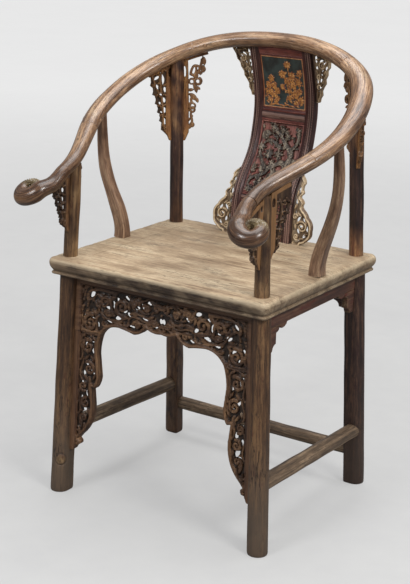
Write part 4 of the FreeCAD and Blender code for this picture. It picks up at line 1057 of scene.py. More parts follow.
APRON_STROKES = [
    scroll(96, 425, 19, 250, 1.35, 4.4), scroll(137, 427, 15, 190, 1.3, 3.8, hand=-1),
    scroll(131, 405, 8, 30, 1.1, 3), scroll(174, 379, 18.5, 100, 1.4, 4.4, hand=-1),
    scroll(179, 327, 16, 120, 1.35, 4, hand=-1), scroll(175, 281, 15, 60, 1.3, 4),
    scroll(190, 240, 10, 250, 1.2, 3.2), scroll(184, 205, 12, 100, 1.25, 3.4, hand=-1),
    scroll(188, 172, 10, 300, 1.2, 3.2), scroll(10, 439, 9, 180, 1.1, 3, 0.4, hand=-1),
    bead(0, 440, 3.6), bead(0, 426, 3), scroll(16, 409, 8, 200, 1.3, 2.8),
    scroll(36, 434, 9, 20, 1.4, 3), scroll(62, 441, 9, 200, 1.3, 3, hand=-1),
    scroll(58, 396, 9, 10, 1.2, 3),
    stem([(112, 450), (140, 452.5), (166, 448), (181, 437), (180, 424)], 4.6, 2.6, 0.95),
    stem([(20, 421), (42, 415), (62, 420), (76, 414)], 2.4, 2.2, 0.85),
    stem([(22, 413), (46, 407), (66, 411), (80, 402)], 2.2, 2, 0.75),
    stem([(26, 404), (44, 400), (56, 404)], 2.2, 1.6, 0.8),
    stem([(78, 448), (64, 432), (48, 424), (30, 424)], 2.6, 1.8, 0.7),
    stem([(82, 408), (100, 398), (120, 393), (140, 398), (152, 410)], 3, 2.4, 0.85),
    stem([(152, 410), (160, 420), (170, 428), (182, 412)], 2.6, 2, 0.8),
    stem([(155, 396), (160, 386), (158, 372), (164, 362)], 2.6, 2.2, 0.75),
    stem([(192, 412), (196, 398), (194, 384), (196, 366)], 2.6, 2.2, 0.75),
    stem([(150, 363.5), (174, 360), (198, 363.5)], 2.6, 2.6, 0.95),
    stem([(150, 358), (174, 354.5), (198, 358)], 2.2, 2.2, 0.8),
    stem([(163, 345), (162, 330), (164, 316), (160, 300), (160, 288)], 2.4, 2, 0.7),
    stem([(196, 345), (198, 330), (194, 312), (198, 296)], 2.4, 2, 0.7),
    stem([(190, 298), (196, 280), (198, 262), (192, 252)], 2.4, 2, 0.75),
    stem([(176, 262), (174, 246), (178, 230), (172, 216)], 2.8, 2, 0.8),
    stem([(198, 234), (202, 216), (198, 196), (202, 178)], 2.2, 2, 0.7),
    *leaves((118, 440, 22, 3.6, -38), (152, 437, 20, 3.4, 30), (118, 411, 18, 3.2, 60, -0.3),
        (152, 421, 17, 3, 95), (78, 430, 18, 3.2, 80, -0.3), (48, 447, 18, 3, 160),
        (24, 447, 15, 2.8, 20), (84, 391, 22, 3.2, 165), (104, 390, 20, 3, 5, -0.2),
        (38, 398, 16, 2.6, 170), (8, 397, 15, 2.8, 20), (24, 396, 14, 2.4, -30),
        (184, 401, 18, 3.2, 120), (164, 402, 16, 3, 60), (190, 350, 15, 2.8, 150),
        (168, 348, 15, 2.8, 30), (184, 303, 18, 3, 140), (168, 303, 15, 2.8, 60),
        (163, 266, 14, 2.6, 110), (184, 259, 18, 3, 50), (177, 188, 17, 3, 75),
        (196, 158, 20, 3.2, 70), (188, 152, 20, 3.2, 100), (200, 140, 22, 3, 80),
        (180, 158, 18, 3, 130, -0.2), (206, 122, 20, 3, 75), (204, 110, 12, 2.6, 20)),
    scroll(112, 386, 5, 90, 1, 2.2), scroll(140, 384, 6, 200, 1, 2.4), bead(187, 448, 3.2, 0.8),
    bead(150, 452, 2.6, 0.7), bead(192, 424, 3, 0.8),
]
APRON_STROKES = [(line, widths * 1.12, height) for line, widths, height in APRON_STROKES]
VOLUTES = np.array([(96, 425), (137, 427), (131, 405), (174, 379), (179, 327), (175, 281),
                    (190, 240), (184, 205), (188, 172), (16, 409), (36, 434), (62, 441), (58, 396)])


def filler(count, low, high, centres, seed, size=(8, 15), width=(1.7, 2.7)):
    """Small leaves at random places, each turned round the nearest scroll's middle."""
    rng = np.random.default_rng(seed)
    made = []
    for _ in range(count):
        place = rng.uniform(low, high)
        away = place - centres[np.argmin(np.linalg.norm(centres - place, axis=1))]
        turn = math.degrees(math.atan2(away[1], away[0])) + 90 + rng.uniform(-35, 35)
        made.append(leaf(*place, rng.uniform(*size), rng.uniform(*width), turn,
                         rng.uniform(-0.3, 0.3), rng.uniform(0.42, 0.68)))
    return made


APRON_FILLER = filler(78, (0, 388), (206, 454), VOLUTES, 6, (11, 21), (2.2, 3.6))
APRON_FILLER += filler(52, (150, 100), (212, 388), VOLUTES, 7, (11, 20), (2.2, 3.4))
APRON_HOLES = leaves(
    (84, 445, 11, 2.8, 20), (80, 412, 9, 2.6, 40), (118, 424, 16, 3, 80), (155, 411, 12, 3.6, 30),
    (172, 439, 15, 3.4, 120), (106, 400, 14, 3.2, -15), (128, 390, 13, 2.8, 10),
    (74, 388, 13, 2.6, -15), (46, 434, 12, 2.8, 60), (30, 445, 12, 3, -20), (40, 411, 13, 2.6, 8),
    (12, 400, 9, 2.6, 0), (4, 414, 8, 2.6, 90), (107, 436, 10, 2.8, 60), (90, 418, 9, 2.6, -40),
    (134, 418, 10, 2.8, 30), (168, 386, 11, 3.2, 60), (182, 371, 9, 2.8, 40),
    (158, 377, 10, 2.4, 90), (190, 391, 10, 2.6, 100), (188, 332, 17, 3.4, 75),
    (168, 318, 12, 3.2, 60), (172, 340, 9, 2.4, 20), (184, 291, 12, 3, 70), (168, 274, 10, 3, 40),
    (190, 268, 8, 2.4, 90), (194, 249, 11, 2.8, 70), (182, 224, 12, 3, 80), (186, 188, 14, 4, 60),
    (196, 212, 11, 2.6, 95), (192, 180, 9, 2.4, 120), (176, 176, 9, 2.2, 70),
    (60, 429, 9, 2.4, -30),
)
print(len(APRON_STROKES), "strokes,", len(APRON_FILLER), "small leaves,", len(APRON_HOLES), "holes")

# %% [markdown]
# From the drawing to wood: "solid" joins body, strips, rim and strokes and takes the holes away,
# and "carving" raises each of them. The ground between the strokes is thinned from behind, as a
# carver does to make openwork look light.

# %% Front apron: the boards
BAND_FOOT = 453.5  # the apron is a plain band above this height
STRIP_WIDTH = 14.0


def leg_side(z):
    """Where the leg's inner flat lies at a height."""
    foot = FOOT_RADIUS["front"]
    radius = foot + (SHOULDER_RADIUS - foot) * z / SEAT_UNDERSIDE
    return leg_axis("front", z)[..., 0] - radius - 0.1


def in_strips(ax, z):
    """How far inside the plain strips under the seat and beside the legs, negative outside."""
    return np.maximum(ax - (leg_side(z) - STRIP_WIDTH), z - BAND_FOOT)


def apron_solid(x, z):
    """Inside the outline and the legs' line, and not in a hole unless a stroke crosses it."""
    ax = np.abs(x)
    body = np.minimum(inside(apron_outline, x, z), leg_side(z) - ax)
    strokes = drawn(APRON_STROKES, ax, z)[0]
    holes = drawn(APRON_HOLES, ax, z)[0] + 1.3
    rim = 7.0 + inside(arch_void, x, z)
    return np.minimum(body, np.maximum.reduce([strokes - 1.9, in_strips(ax, z), rim, -holes]))


def apron_carving(x, z):
    """Front depth, back depth and crown: strips proud, rim beaded, ground deep between strokes."""
    ax = np.abs(x)
    _, height, crown = drawn(APRON_STROKES, ax, z)
    _, low_height, low_crown = drawn(APRON_FILLER, ax, z)
    # Painted shade on the ground between the strokes and on the rim's sides by their low crown,
    # painted highlight on the crowns of strokes and rim.
    crown = np.where(height > 0, 0.15 + 0.85 * crown, 0.05 + 1.1 * low_crown)
    lift = 0.60 + 0.36 * np.maximum(height, low_height * 1.1)
    points = np.stack([x, z, 0 * x], -1)
    lift = lift + 0.025 * unevenness(points, 9.0, 8) + 0.02 * unevenness(points, 4.0, 9)
    strip = in_strips(ax, z)
    plain = np.clip(strip / 1.6, 0, 1)
    edge_line = np.exp(-(((strip - 3.4) / 0.9) ** 2))
    lift = np.where(strip > 0, 0.62 + 0.36 * np.sqrt(plain), lift) - 0.06 * edge_line
    # The scored line along the strips is darkened as painted shade by its low crown.
    crown = np.where(strip > 0, 0.62 + 0.38 * plain - 0.45 * edge_line, crown)
    rim = -inside(arch_void, x, z)
    profile = np.sqrt(np.clip(1 - ((rim - 3.6) / 3.9) ** 2, 0, 1))
    in_rim = (rim < 7.4) & (strip < 0)
    lift = np.where(in_rim, np.maximum(lift, 0.62 + 0.38 * profile), lift)
    crown = np.where(in_rim, np.maximum(crown, 0.45 + 0.55 * profile), crown)
    back = np.where((strip > 0) | in_rim, 8.0, 0.8)
    return 8.0 - 16.0 * lift, back, crown, np.where(strip > 0, 0.15, 1.0)


def apron_place(x, z, depth):
    """The board leans with the front legs, its middle 8 mm behind their axes."""
    return np.stack([x, leg_axis("front", z)[..., 1] + 8.0 + depth, z], -1)


for name, span, low, high, grain_axis, seed in (
        ("top", (-214.0, 214.0), APRON_SEAM, SEAT_UNDERSIDE, 0, 1),
        ("right", (145.0, 224.0), APRON_FOOT, APRON_SEAM - 0.25, 1, 2),
        ("left", (-224.0, -145.0), APRON_FOOT, APRON_SEAM - 0.25, 1, 3)):
    carved_board("front_apron_" + name, (span, (low, high)), 1.3, apron_solid, apron_carving,
                 apron_place, APRON, grain_axis, seed)

# %% [markdown]
# The side and rear aprons are plain lacquered boards with a cusp near each end, and a small
# bracket hangs from each end where it meets a leg. They are flat boards with rounded edges, so
# the same grid method draws them: the distance from the outline gives the rounding.

# %% Side and rear aprons with brackets
front_corner, rear_corner = (leg_axis(kind, SEAT_UNDERSIDE) for kind in ("front", "rear"))
SIDE_LENGTH = rear_corner[1] - front_corner[1]
REAR_LENGTH = 2 * rear_corner[0]
LEG_GAP = 18.0  # from a leg's axis to the end of a board


def apron_board_outline(length):
    """Right half of the board's outline and its mirror image, top at zero."""
    half = length / 2
    cusp = half - 61.0
    right_half = bulged([(0, -28, 0), (cusp - 22, -28, 0), (cusp - 22, -31.5, -0.15),
                         (cusp, -35, 0), (cusp + 3.5, -28, 0), (half, -28, 0), (half, 0, 0)])
    return np.concatenate([right_half, (right_half * [-1, 1])[::-1]])


def bracket_outline(length):
    """The bracket at the positive end, hung from the board, with a round throat and foot."""
    half = length / 2
    inner = half - 45.4
    return bulged([(half, -28, 0), (inner - 13, -28, -0.2), (inner, -41, 0), (inner, -63, 0.2),
                   (inner + 13, -76, 0), (half, -76, 0), (half, -28, 0)])


def rounded_board(name, outline, place, clear, seed):
    """A plain board: its face drops away in a quarter round close to the outline."""

    def solid(x, z):
        """Inside the outline and clear of the legs."""
        return np.minimum(inside(outline, x, z), clear(x, z))

    def carving(x, z):
        """Both faces fall by a quarter round of 1.6 mm at the edge."""
        edge = np.clip(inside(outline, x, z) / 2.2, 0, 1)
        drop = 1.6 * (1 - np.sqrt(1 - (1 - edge) ** 2))
        # Painted shade: the low crown darkens the rounded edge, over the lighter second shades that
        # its paint value gives it.
        return drop - 7.5, 7.5 - drop, 0.35 + 0.65 * edge, 1 - edge

    span = tuple(zip(outline.min(0), outline.max(0)))
    carved_board(name, span, 1.6, solid, carving, place, PLAIN_APRON, 0, seed)


def side_place(sign):
    """Boards under the seat's sides: their length runs front to back."""
    middle = (front_corner + rear_corner) / 2
    return lambda x, z, d: np.stack([sign * (middle[0] - d), middle[1] + x, SEAT_UNDERSIDE + z], -1)


def rear_place(x, z, d):
    """Boards under the seat's back: their length runs from side to side."""
    return np.stack([x, rear_corner[1] - d, SEAT_UNDERSIDE + z], -1)


def side_clear(x, z):
    """Distance to the sloping front and rear legs, for a board under a side."""
    return SIDE_LENGTH / 2 - LEG_GAP - z * 0.005 - np.abs(x) + z * np.where(x < 0, 0.029, 0.048)


def rear_clear(x, z):
    """Distance to the sloping rear legs, for a board under the back."""
    return REAR_LENGTH / 2 - LEG_GAP - np.abs(x) - z * 0.027


for name, sign in (("right", 1), ("left", -1)):
    board, place = bracket_outline(SIDE_LENGTH), side_place(sign)
    rounded_board("side_apron_" + name, apron_board_outline(SIDE_LENGTH), place, side_clear, 31)
    rounded_board("side_bracket_rear_" + name, board, place, side_clear, 32)
    rounded_board("side_bracket_front_" + name, board * [-1, 1], place, side_clear, 33)
    rounded_board("rear_bracket_" + name, bracket_outline(REAR_LENGTH) * [sign, 1], rear_place,
                  rear_clear, 34)
rounded_board("rear_apron", apron_board_outline(REAR_LENGTH), rear_place, rear_clear, 35)

# %% [markdown]
# The splat follows an S: it leans forward at the small of the back and back at the shoulders.
# Its stiles are moulded with beads, one of them cut like a twisted cord. A profile is carried up
# the curve and the cord's twist is a sine that runs on with the distance.

# %% Splat: stiles and cross rails
SPLAT_FOOT_Y = SEAT_BACK - 44.0
SPLAT_HEAD_Y = rail_place(0.0)[0][1] - 1.7
SPLAT_SHARES = [
    (0, 0), (0.11, 0.024), (0.23, 0.21), (0.34, 0.734), (0.43, 1.226), (0.53, 1.484),
    (0.66, 1.613), (0.83, 1.387), (1, 1),
]
SPLAT_LINE = smooth_line([
    (0, SPLAT_FOOT_Y + swing * (SPLAT_HEAD_Y - SPLAT_FOOT_Y), SEAT + rise * 411.5)
    for rise, swing in SPLAT_SHARES
])[1]


def splat_y(z):
    """How far back the splat's middle lies at a height."""
    return np.interp(z, SPLAT_LINE[:, 2], SPLAT_LINE[:, 1])


STILE_MIDDLE = 62.5
CROSS_HALF = 52.2
STILE_PROFILE = np.array([
    (10.5, -9.2), (10.5, 6.4), (10.4, 8.3), (9.7, 9.6), (8.4, 10.0), (7.1, 9.6), (6.4, 8.4),
    (6.0, 7.5), (5.6, 7.5), (5.2, 8.8), (4.2, 9.1), (2.6, 9.1), (1.7, 8.9), (1.3, 7.8), (0.9, 7.8),
    (0.3, 9.2), (-0.9, 9.9), (-2.1, 9.2), (-2.7, 7.8), (-3.1, 7.6), (-3.5, 7.8), (-3.9, 8.2),
    (-5.0, 8.0), (-7.4, 7.2), (-8.7, 6.6), (-9.4, 7.0), (-10.1, 6.5), (-10.5, 5.4), (-10.5, -9.2),
    (-9.7, -10.0), (9.7, -10.0),
])


def stile(name, sign, seed):
    """The profile up the S curve; cord and outer bead are cut in slanting notches."""
    heights = np.arange(SEAT - 1.0, 911.0, 1.1)
    centres = np.stack([np.full_like(heights, STILE_MIDDLE), splat_y(heights), heights], -1)
    offsets = np.repeat(STILE_PROFILE[None], len(heights), 0)
    along, front = STILE_PROFILE.T
    cord = np.exp(-((along + 0.9) / 1.4) ** 2) * (front > 8)
    outer = np.exp(-((along - 8.4) / 1.6) ** 2) * (front > 8)
    red = np.exp(-((along + 6.3) / 2.6) ** 4) * (front > 5)
    twist = np.sin(2 * np.pi * heights[:, None] / 5.2 + along[None] * 1.1)
    low_part = np.clip((772 - heights[:, None]) / 12, 0, 1)
    offsets[..., 1] += 0.55 * twist * (cord * 0.6 + outer * 0.5) * (0.25 + 0.75 * low_part)
    # Painted shade in the grooves between the beads and painted highlight on their tops; the twist
    # makes the cord's notches alternately lighter and darker, as painted highlight and shade.
    depth = np.interp(front, [-10, 5, 7.8, 9.0], [0.6, 0.55, 0.12, 1.0])
    crown = np.clip(depth + 0.3 * twist * (cord + outer), 0, 1)
    swept(name, centres, [0, -1.0, 0], [1.0, 0, 0], offsets, heights, SPLAT, crown=crown,
          seed=seed, mirror=sign < 0, paint=red)


stile("splat_stile_right", 1, 41)
stile("splat_stile_left", -1, 42)


def cross_rail(name, foot, top, profile, seed):
    """A moulding that runs across: its profile gives front height by share of the rail's height."""
    share, front, red = np.array(profile).T
    ring_z = np.concatenate([[foot], foot + share * (top - foot), [top, top, foot]])
    ring_u = np.concatenate([[-7.0], front, [-7.0, -8.0, -8.0]])
    tints = np.concatenate([[0], red, [0, 0, 0]])
    x = np.linspace(-CROSS_HALF, CROSS_HALF, 60)
    ring = np.stack([ring_u - splat_y(ring_z), ring_z], -1)
    middle = ring.mean(0)
    centres = np.stack([x, np.full_like(x, -middle[0]), np.full_like(x, middle[1])], -1)
    offsets = np.broadcast_to(ring - middle, (len(x),) + ring.shape)
    # Painted shade in the moulding's low parts and painted highlight on its highest bead, by the
    # crown.
    crown = np.interp(ring_u, [-8, 4, 6, 8], [0.5, 0.3, 0.6, 1.0])
    swept(name, centres, [0, 0, 1.0], [0, -1.0, 0], offsets, x, SPLAT, crown=crown, rough=0.25,
          seed=seed, paint=tints)


PANEL_TOP = 888.5
RAIL_MOULDING = [
    (0, 5, 0), (0.04, 6.6, 1), (0.1, 7.2, 1), (0.15, 6.6, 1), (0.18, 5.2, 0), (0.24, 5.4, 0),
    (0.32, 6.8, 0), (0.42, 7.9, 0), (0.54, 8.3, 0), (0.64, 7.6, 0), (0.7, 6.2, 0), (0.74, 5.4, 0),
    (0.78, 6.2, 1), (0.86, 6.6, 1), (0.94, 6.4, 1), (1, 5, 0),
]
cross_rail("splat_rail_upper", 747.85, 774.85, RAIL_MOULDING, 43)
cross_rail("splat_rail_lower", 584.1, 602.1, RAIL_MOULDING, 44)
cross_rail("splat_rail_top", PANEL_TOP + 0.05, 911.0, [
    (0.0, 4.6, 1), (0.03, 6.0, 1), (0.08, 6.8, 1), (0.14, 6.0, 1), (0.20, 7.0, 1), (0.5, 7.4, 1),
    (0.8, 7.4, 1), (1.0, 6.6, 1),
], 45)

# %% [markdown]
# Three panels fill the splat. The top one is painted: gilt sprays of flowers in low raised lacquer
# on a dark green ground, in a thin gilt frame. The flowers are drawn as strokes again: a spray is
# a ring of short leaves round a bud.

# %% Splat: the painted picture


def spray(x, z, size, turns, seed):
    """A clump: petals round a middle, each a short leaf, with loose dots beyond."""
    rng = np.random.default_rng(seed)
    strokes = []
    for turn in np.linspace(0, 360, turns, endpoint=False):
        t = math.radians(turn + rng.uniform(-9, 9))
        r = size * rng.uniform(0.48, 0.62)
        strokes.append(leaf(x + r * math.cos(t), z + r * math.sin(t), size * 0.95,
                            size * rng.uniform(0.2, 0.27), math.degrees(t), 0.1, 0.95))
    strokes.append(bead(x, z, size * 0.26, 1.0))
    return strokes


PICTURE = [
    stem([(34, 788), (30, 806), (20, 826), (14, 848), (12, 866)], 1.9, 1, 0.8),
    stem([(30, 800), (38, 818), (38, 836), (42, 850)], 1.4, 0.9, 0.8),
    stem([(22, 822), (8, 832), (-2, 844)], 1.3, 0.9, 0.8),
    stem([(26, 812), (10, 812), (-2, 818)], 1.3, 0.9, 0.8),
    stem([(-32, 786), (-30, 800), (-34, 816), (-30, 832)], 1.7, 0.9, 0.8),
    stem([(-31, 796), (-20, 806), (-16, 812)], 1.2, 0.9, 0.8),
]
for number, (x, z, size, turns) in enumerate([
        (12, 866, 8.5, 9), (40, 852, 7.5, 8), (-3, 846, 8.5, 9), (22, 846, 7.5, 8), (36, 832, 8, 8),
        (9, 832, 7.5, 8), (-3, 820, 7.5, 8), (24, 826, 7.5, 8), (38, 814, 7, 8), (12, 814, 7, 8),
        (26, 806, 7.5, 8), (42, 798, 6.5, 7), (12, 799, 7, 8), (28, 791, 6.5, 7),
        (-30, 836, 8, 8), (-38, 822, 7, 8), (-25, 820, 7, 8), (-16, 810, 6.5, 7), (-34, 807, 7, 8),
        (-24, 802, 6.5, 7), (-36, 793, 6, 7), (-20, 791, 6.5, 7)]):
    PICTURE += spray(x, z, size, turns, 300 + number)
PICTURE += [leaf(-30 + 12 * k, 781.5 + 1.6 * (k % 2), 15, 1.6, 5 - 9 * (k % 3), 0.3, 0.7)
            for k in range(6)]
PICTURE_MIDDLES = np.array([(24, 820), (-30, 808), (30, 800)], float)
PICTURE += filler(110, (2, 786), (46, 852), PICTURE_MIDDLES, 21, (4, 8), (1.1, 2.0))
PICTURE += filler(55, (-46, 783), (-12, 828), PICTURE_MIDDLES, 22, (4, 8), (1.1, 2.0))
PICTURE_FOOT = 777.0
PANEL_HALF = CROSS_HALF - 0.1


def picture_carving(x, z):
    """Ground flat at the panel's face, gilt raised by up to 1.1 mm, thin frame line at the edge."""
    _, height, crown = drawn(PICTURE, x, PICTURE_FOOT + (z - PICTURE_FOOT) * 0.95)
    edge = np.minimum(50.2 - np.abs(x), np.minimum(z - PICTURE_FOOT, PANEL_TOP - 1.6 - z))
    line = np.exp(-((edge - 1.2) / 0.75) ** 4)
    border = edge < 0
    front = -5.0 - 1.1 * np.clip(height, 0, 1) - 1.2 * line + 0.2 * border
    gilt = np.where((height > 0) & (edge > 2.2), 0.6, 0.0)
    paint = np.where(line > 0.3, 1.0, np.where(border, 0.3, gilt))
    crown = np.where(height > 0, 0.45 + 0.55 * crown, 0.8)
    return front, np.full_like(front, 5.0), np.where(line > 0.3, 1.0, crown), paint


def splat_place(x, z, depth):
    """Boards of the splat bend with it: a point lies depth behind the S curve at its height."""
    return np.stack([x, splat_y(z) + depth, z], -1)


def whole(x, z):
    """A board with no holes: everywhere inside."""
    return np.ones_like(x)


def gnarled(low, high, seed, count):
    """Leaves scattered in a window at every slant, each with its own length, width and height."""
    rng = np.random.default_rng(seed)
    made = []
    for _ in range(count):
        place = rng.uniform(low[0], high[0]), rng.uniform(low[1], high[1])
        made.append(leaf(*place, rng.uniform(9, 17), rng.uniform(2.0, 3.2), rng.uniform(0, 180),
                         rng.uniform(-0.3, 0.3), rng.uniform(0.5, 0.8)))
    return made


# %% [markdown]
# The carved panels: a gnarled branch with side shoots fills the middle one, blossoms cover its
# ends and small leaves fill the rest. The ground is sunk 3 or 4 mm inside a raised border.

# %% Splat: carved panels
RELIEF = [
    stem([(36, 604), (30, 622), (38, 642), (26, 660), (34, 682), (18, 700), (4, 716), (-14, 728)],
         8, 4.4, 1),
    stem([(30, 656), (8, 664), (-10, 654), (-30, 664), (-42, 682)], 6.2, 3.4, 0.95),
    stem([(-10, 655), (-22, 640), (-38, 634), (-46, 618)], 5, 3.2, 0.85),
    stem([(26, 692), (40, 704), (44, 722), (36, 738)], 5.2, 3.2, 0.9),
    stem([(18, 700), (0, 696), (-16, 706), (-36, 702)], 4.6, 3, 0.85),
    stem([(34, 628), (14, 630), (-2, 620), (-18, 612)], 5.4, 3.2, 0.9),
    scroll(-36, 716, 10, 30, 1.3, 4, hand=1, height=0.9),
    scroll(42, 668, 8, 200, 1.2, 3.6, hand=-1, height=0.85),
]
for number, (x, z, size) in enumerate([
        (-18, 734, 11), (6, 730, 11), (-42, 692, 11), (-20, 680, 12), (4, 682, 11), (-45, 652, 10),
        (-22, 628, 11), (6, 644, 12), (-40, 610, 9), (12, 611, 10), (42, 732, 9), (-24, 652, 9),
        (18, 718, 8), (-6, 664, 8), (44, 642, 8), (-6, 630, 8)]):
    RELIEF += spray(x, z, size, 7 + number % 2, 11 + number)
RELIEF += gnarled((-47, 607), (47, 744), 5, 70)
LOW_RELIEF = [
    scroll(-28, 552, 14, 200, 1.6, 3), scroll(26, 548, 14, 340, 1.6, 3, hand=-1),
    scroll(0, 566, 8, 90, 1.2, 2.6),
    stem([(-44, 520), (-20, 528), (0, 520), (22, 528), (44, 518)], 3, 2.2, 0.9),
    stem([(-14, 540), (0, 552), (14, 540)], 2.6, 2.4, 0.8),
    *leaves((-42, 574, 16, 3, 30), (42, 572, 16, 3, 150), (0, 538, 14, 3, 90),
        (-16, 574, 14, 2.6, -10), (18, 574, 14, 2.6, 10), (-46, 538, 14, 2.6, 80),
        (46, 536, 14, 2.6, 100)),
]


def sunk_carving(strokes, low, high, sunk):
    """Relief on a sunk ground inside a raised square border with a bead."""

    def carving(x, z):
        """The ground sinks beyond the border; strokes rise from it with rough knife cuts."""
        _, height, crown = drawn(strokes, x, z)
        edge = np.minimum(52.0 - np.abs(x), np.minimum(z - low, high - z))
        fall = np.clip((edge - 2.6) / 1.2, 0, 1)
        rim = np.exp(-((edge - 1.3) / 1.1) ** 4)
        ground = -5.0 - 0.8 * rim + sunk * fall
        lifted = -5.0 + sunk - (sunk + 4.2) * height
        carved = (height > 0) & (edge > 2.6)
        cuts = unevenness(np.stack([x, z, 0 * x], -1), 4.6, 4)
        lifted = lifted - 0.5 * cuts * height
        front = np.where(carved, np.minimum(ground, lifted), ground)
        # Painted highlight and shade: the carving's tone follows its crown and knife cuts, and the
        # ground darkens next to the raised border as painted shade.
        tone = 0.05 + 0.95 * np.clip(crown + 0.3 * cuts, 0, 1)
        tone = np.where(carved, tone, 0.66 - 0.5 * np.exp(-((edge - 4) / 3) ** 2))
        tone = np.where(edge < 2.8, 0.9, tone)
        return front, np.full_like(front, 5.0), tone, np.where(carved, 0.0, 1.0)

    return carving


for name, low, high, step, carving, finish, seed, back_paint in (
        ("upper", 774.9, PANEL_TOP, 0.8, picture_carving, PAINTED, 51, 0.3),
        ("middle", 602.15, 747.8, 0.9, sunk_carving(RELIEF, 602.15, 747.8, 4.0),
         RELIEF_PAINT, 52, 1.0),
        ("lower", SEAT - 0.5, 584.05, 0.9, sunk_carving(LOW_RELIEF, SEAT, 584.05, 3.0),
         RELIEF_PAINT, 53, 1.0)):
    carved_board("splat_panel_" + name, ((-PANEL_HALF, PANEL_HALF), (low, high)), step, whole,
                 carving, splat_place, finish, 1, seed, back_paint)

# %% [markdown]
# Four openwork wings stand beside the splat: long tapering ones under the rail, and low ones
# above the seat, each a round lobe with a smooth thick rim round a scroll. They bend with the
# splat, so their place function is the splat's own.

# %% Splat: wings
WING_START = 72.6  # the stile's outer face
TOP_WING = np.array([
    (WING_START, 797), (82, 797), (84, 806), (88.5, 813), (88, 822), (93, 831), (98, 838),
    (98, 847), (104, 857), (105, 866), (111, 873), (113, 884), (119, 894), (121, 925),
    (WING_START, 925),
], float)
TOP_WING_STROKES = [
    scroll(96, 876, 9, 60, 1.4, 2.2), scroll(88, 852, 7.5, 250, 1.3, 2, hand=-1),
    scroll(84, 829, 6, 40, 1.2, 1.9), scroll(110, 890, 6, 200, 1.1, 2, hand=-1),
    stem([(80, 802), (79, 818), (84, 838), (90, 862), (106, 884), (116, 898)], 1.8, 2.2, 0.8),
    *leaves((101, 862, 14, 2.2, 60), (95, 842, 12, 2.1, 55), (87, 816, 11, 2, 60),
        (82, 866, 13, 2.1, 100), (79, 842, 12, 2, 80), (84, 888, 14, 2.2, 20),
        (102, 893, 13, 2.1, -20), (90, 897, 12, 2, 10), (80, 812, 9, 1.8, 90)),
]
LOW_WING = bulged([
    (WING_START, 505, 0), (94, 505, 0), (97, 512, -0.10), (112, 521, -0.16), (121, 541, -0.16),
    (111, 569, -0.08), (98, 584, 0), (94, 590, 0), (96, 597, -0.1), (87, 606, 0), (86, 610, 0),
    (91, 615, -0.1), (87, 622, 0), (86, 630, 0), (88, 634, -0.1), (80, 645, 0),
    (WING_START, 652, 0),
])
LOW_WING_STROKES = [
    scroll(99, 549, 13, 150, 1.6, 2.3, hand=-1), scroll(82, 569, 6.5, 20, 1.2, 2),
    scroll(87, 527, 7, 300, 1.2, 2.1, hand=-1),
    *leaves((108, 532, 14, 2.1, 40), (109, 562, 13, 2, 120), (84, 549, 13, 2, 95),
        (92, 575, 13, 2.1, 140), (98, 523, 12, 2, 10), (81, 590, 13, 2.2, 70),
        (84, 602, 12, 2.1, 110), (80, 618, 14, 2.2, 80), (83, 632, 12, 2, 100),
        (79, 512, 10, 2, 60)),
]


def pierced(outline, strokes, strip, rim, holes, cap=1e3):
    """Solid and carving of an openwork wing: plain strip, thick rim, strokes and holes."""
    ground, thick = 0.55, 11.0

    def solid(x, z):
        """The outline, less the holes that no stroke, strip or rim crosses."""
        ax = np.abs(x)
        body = inside(outline, ax, z)
        keep = [drawn(strokes, ax, z)[0] - 1.2, strip - ax, rim(ax, z) - body,
                -0.8 - drawn(holes, ax, z)[0], z - cap]
        return np.minimum(body, np.maximum.reduce(keep))

    def carving(x, z):
        """Strips flat, rim rounded, strokes on a ground a little above half the thickness."""
        ax = np.abs(x)
        body = inside(outline, ax, z)
        _, height, crown = drawn(strokes, ax, z)
        plain = np.maximum(strip - ax, z - cap)
        width = rim(ax, z)
        bulge = np.sqrt(np.clip(1 - (body / np.maximum(width, 0.1) * 1.7 - 0.75) ** 2, 0, 1))
        in_rim = (body < width) & (plain < 0)
        lift = ground + (0.95 - ground) * height
        lift = np.where(in_rim, np.maximum(lift, 0.5 + 0.5 * bulge), lift)
        lift = np.where(plain > 0, 0.62 + 0.1 * np.clip(plain / 1.5, 0, 1), lift)
        # Painted shade on the ground between strokes and on the rim's sides, painted highlight on
        # the crowns of strokes and rim; the rim's dark second shades on its sides and light top
        # make a painted highlight line.
        tone = np.where(height > 0, 0.45 + 0.55 * crown, 0.3)
        tone = np.where(in_rim, 0.5 + 0.5 * bulge, tone)
        tone = np.where(plain > 0, 0.55, tone)
        paint = np.where(plain > 0, 1.0, np.where(in_rim & (width > 4), 0.8 - 0.55 * bulge**4, 0.0))
        back = np.where((plain > 0) | in_rim, thick / 2, 1.5)
        return thick / 2 - thick * lift, back, tone, paint

    return solid, carving


TOP_WING_HOLES = leaves(
    (81.5, 889, 13, 2.4, 86), (81, 867, 13, 2.3, 86), (80.5, 845, 12, 2.1, 86),
    (80, 824, 10, 1.8, 88), (93, 885, 9, 2, 35), (93, 867, 10, 2.1, 62), (88.5, 846, 9, 1.9, 72),
    (102, 882, 9, 2, 25), (86, 830, 7, 1.6, 60), (104, 871, 8, 1.7, 70), (89, 857, 6, 1.5, 0),
    (111, 893, 7, 1.6, 60),
)
LOW_WING_HOLES = leaves(
    (80, 576, 13, 2, 88), (80, 546, 13, 2, 90), (90, 564, 11, 2, 60), (104, 563, 10, 2, 130),
    (111, 546, 10, 1.9, 95), (105, 530, 10, 2, 45), (90, 539, 9, 2, 110), (97, 550, 8, 2, 20),
    (88, 518, 10, 1.9, 20), (80.5, 600, 10, 1.6, 88), (81, 622, 10, 1.6, 88),
    (81, 526, 8, 1.7, 90),
)


def thin_rim(x, z):
    """The top wings' rim is 2.4 mm wide everywhere."""
    return 2.4 + 0 * x


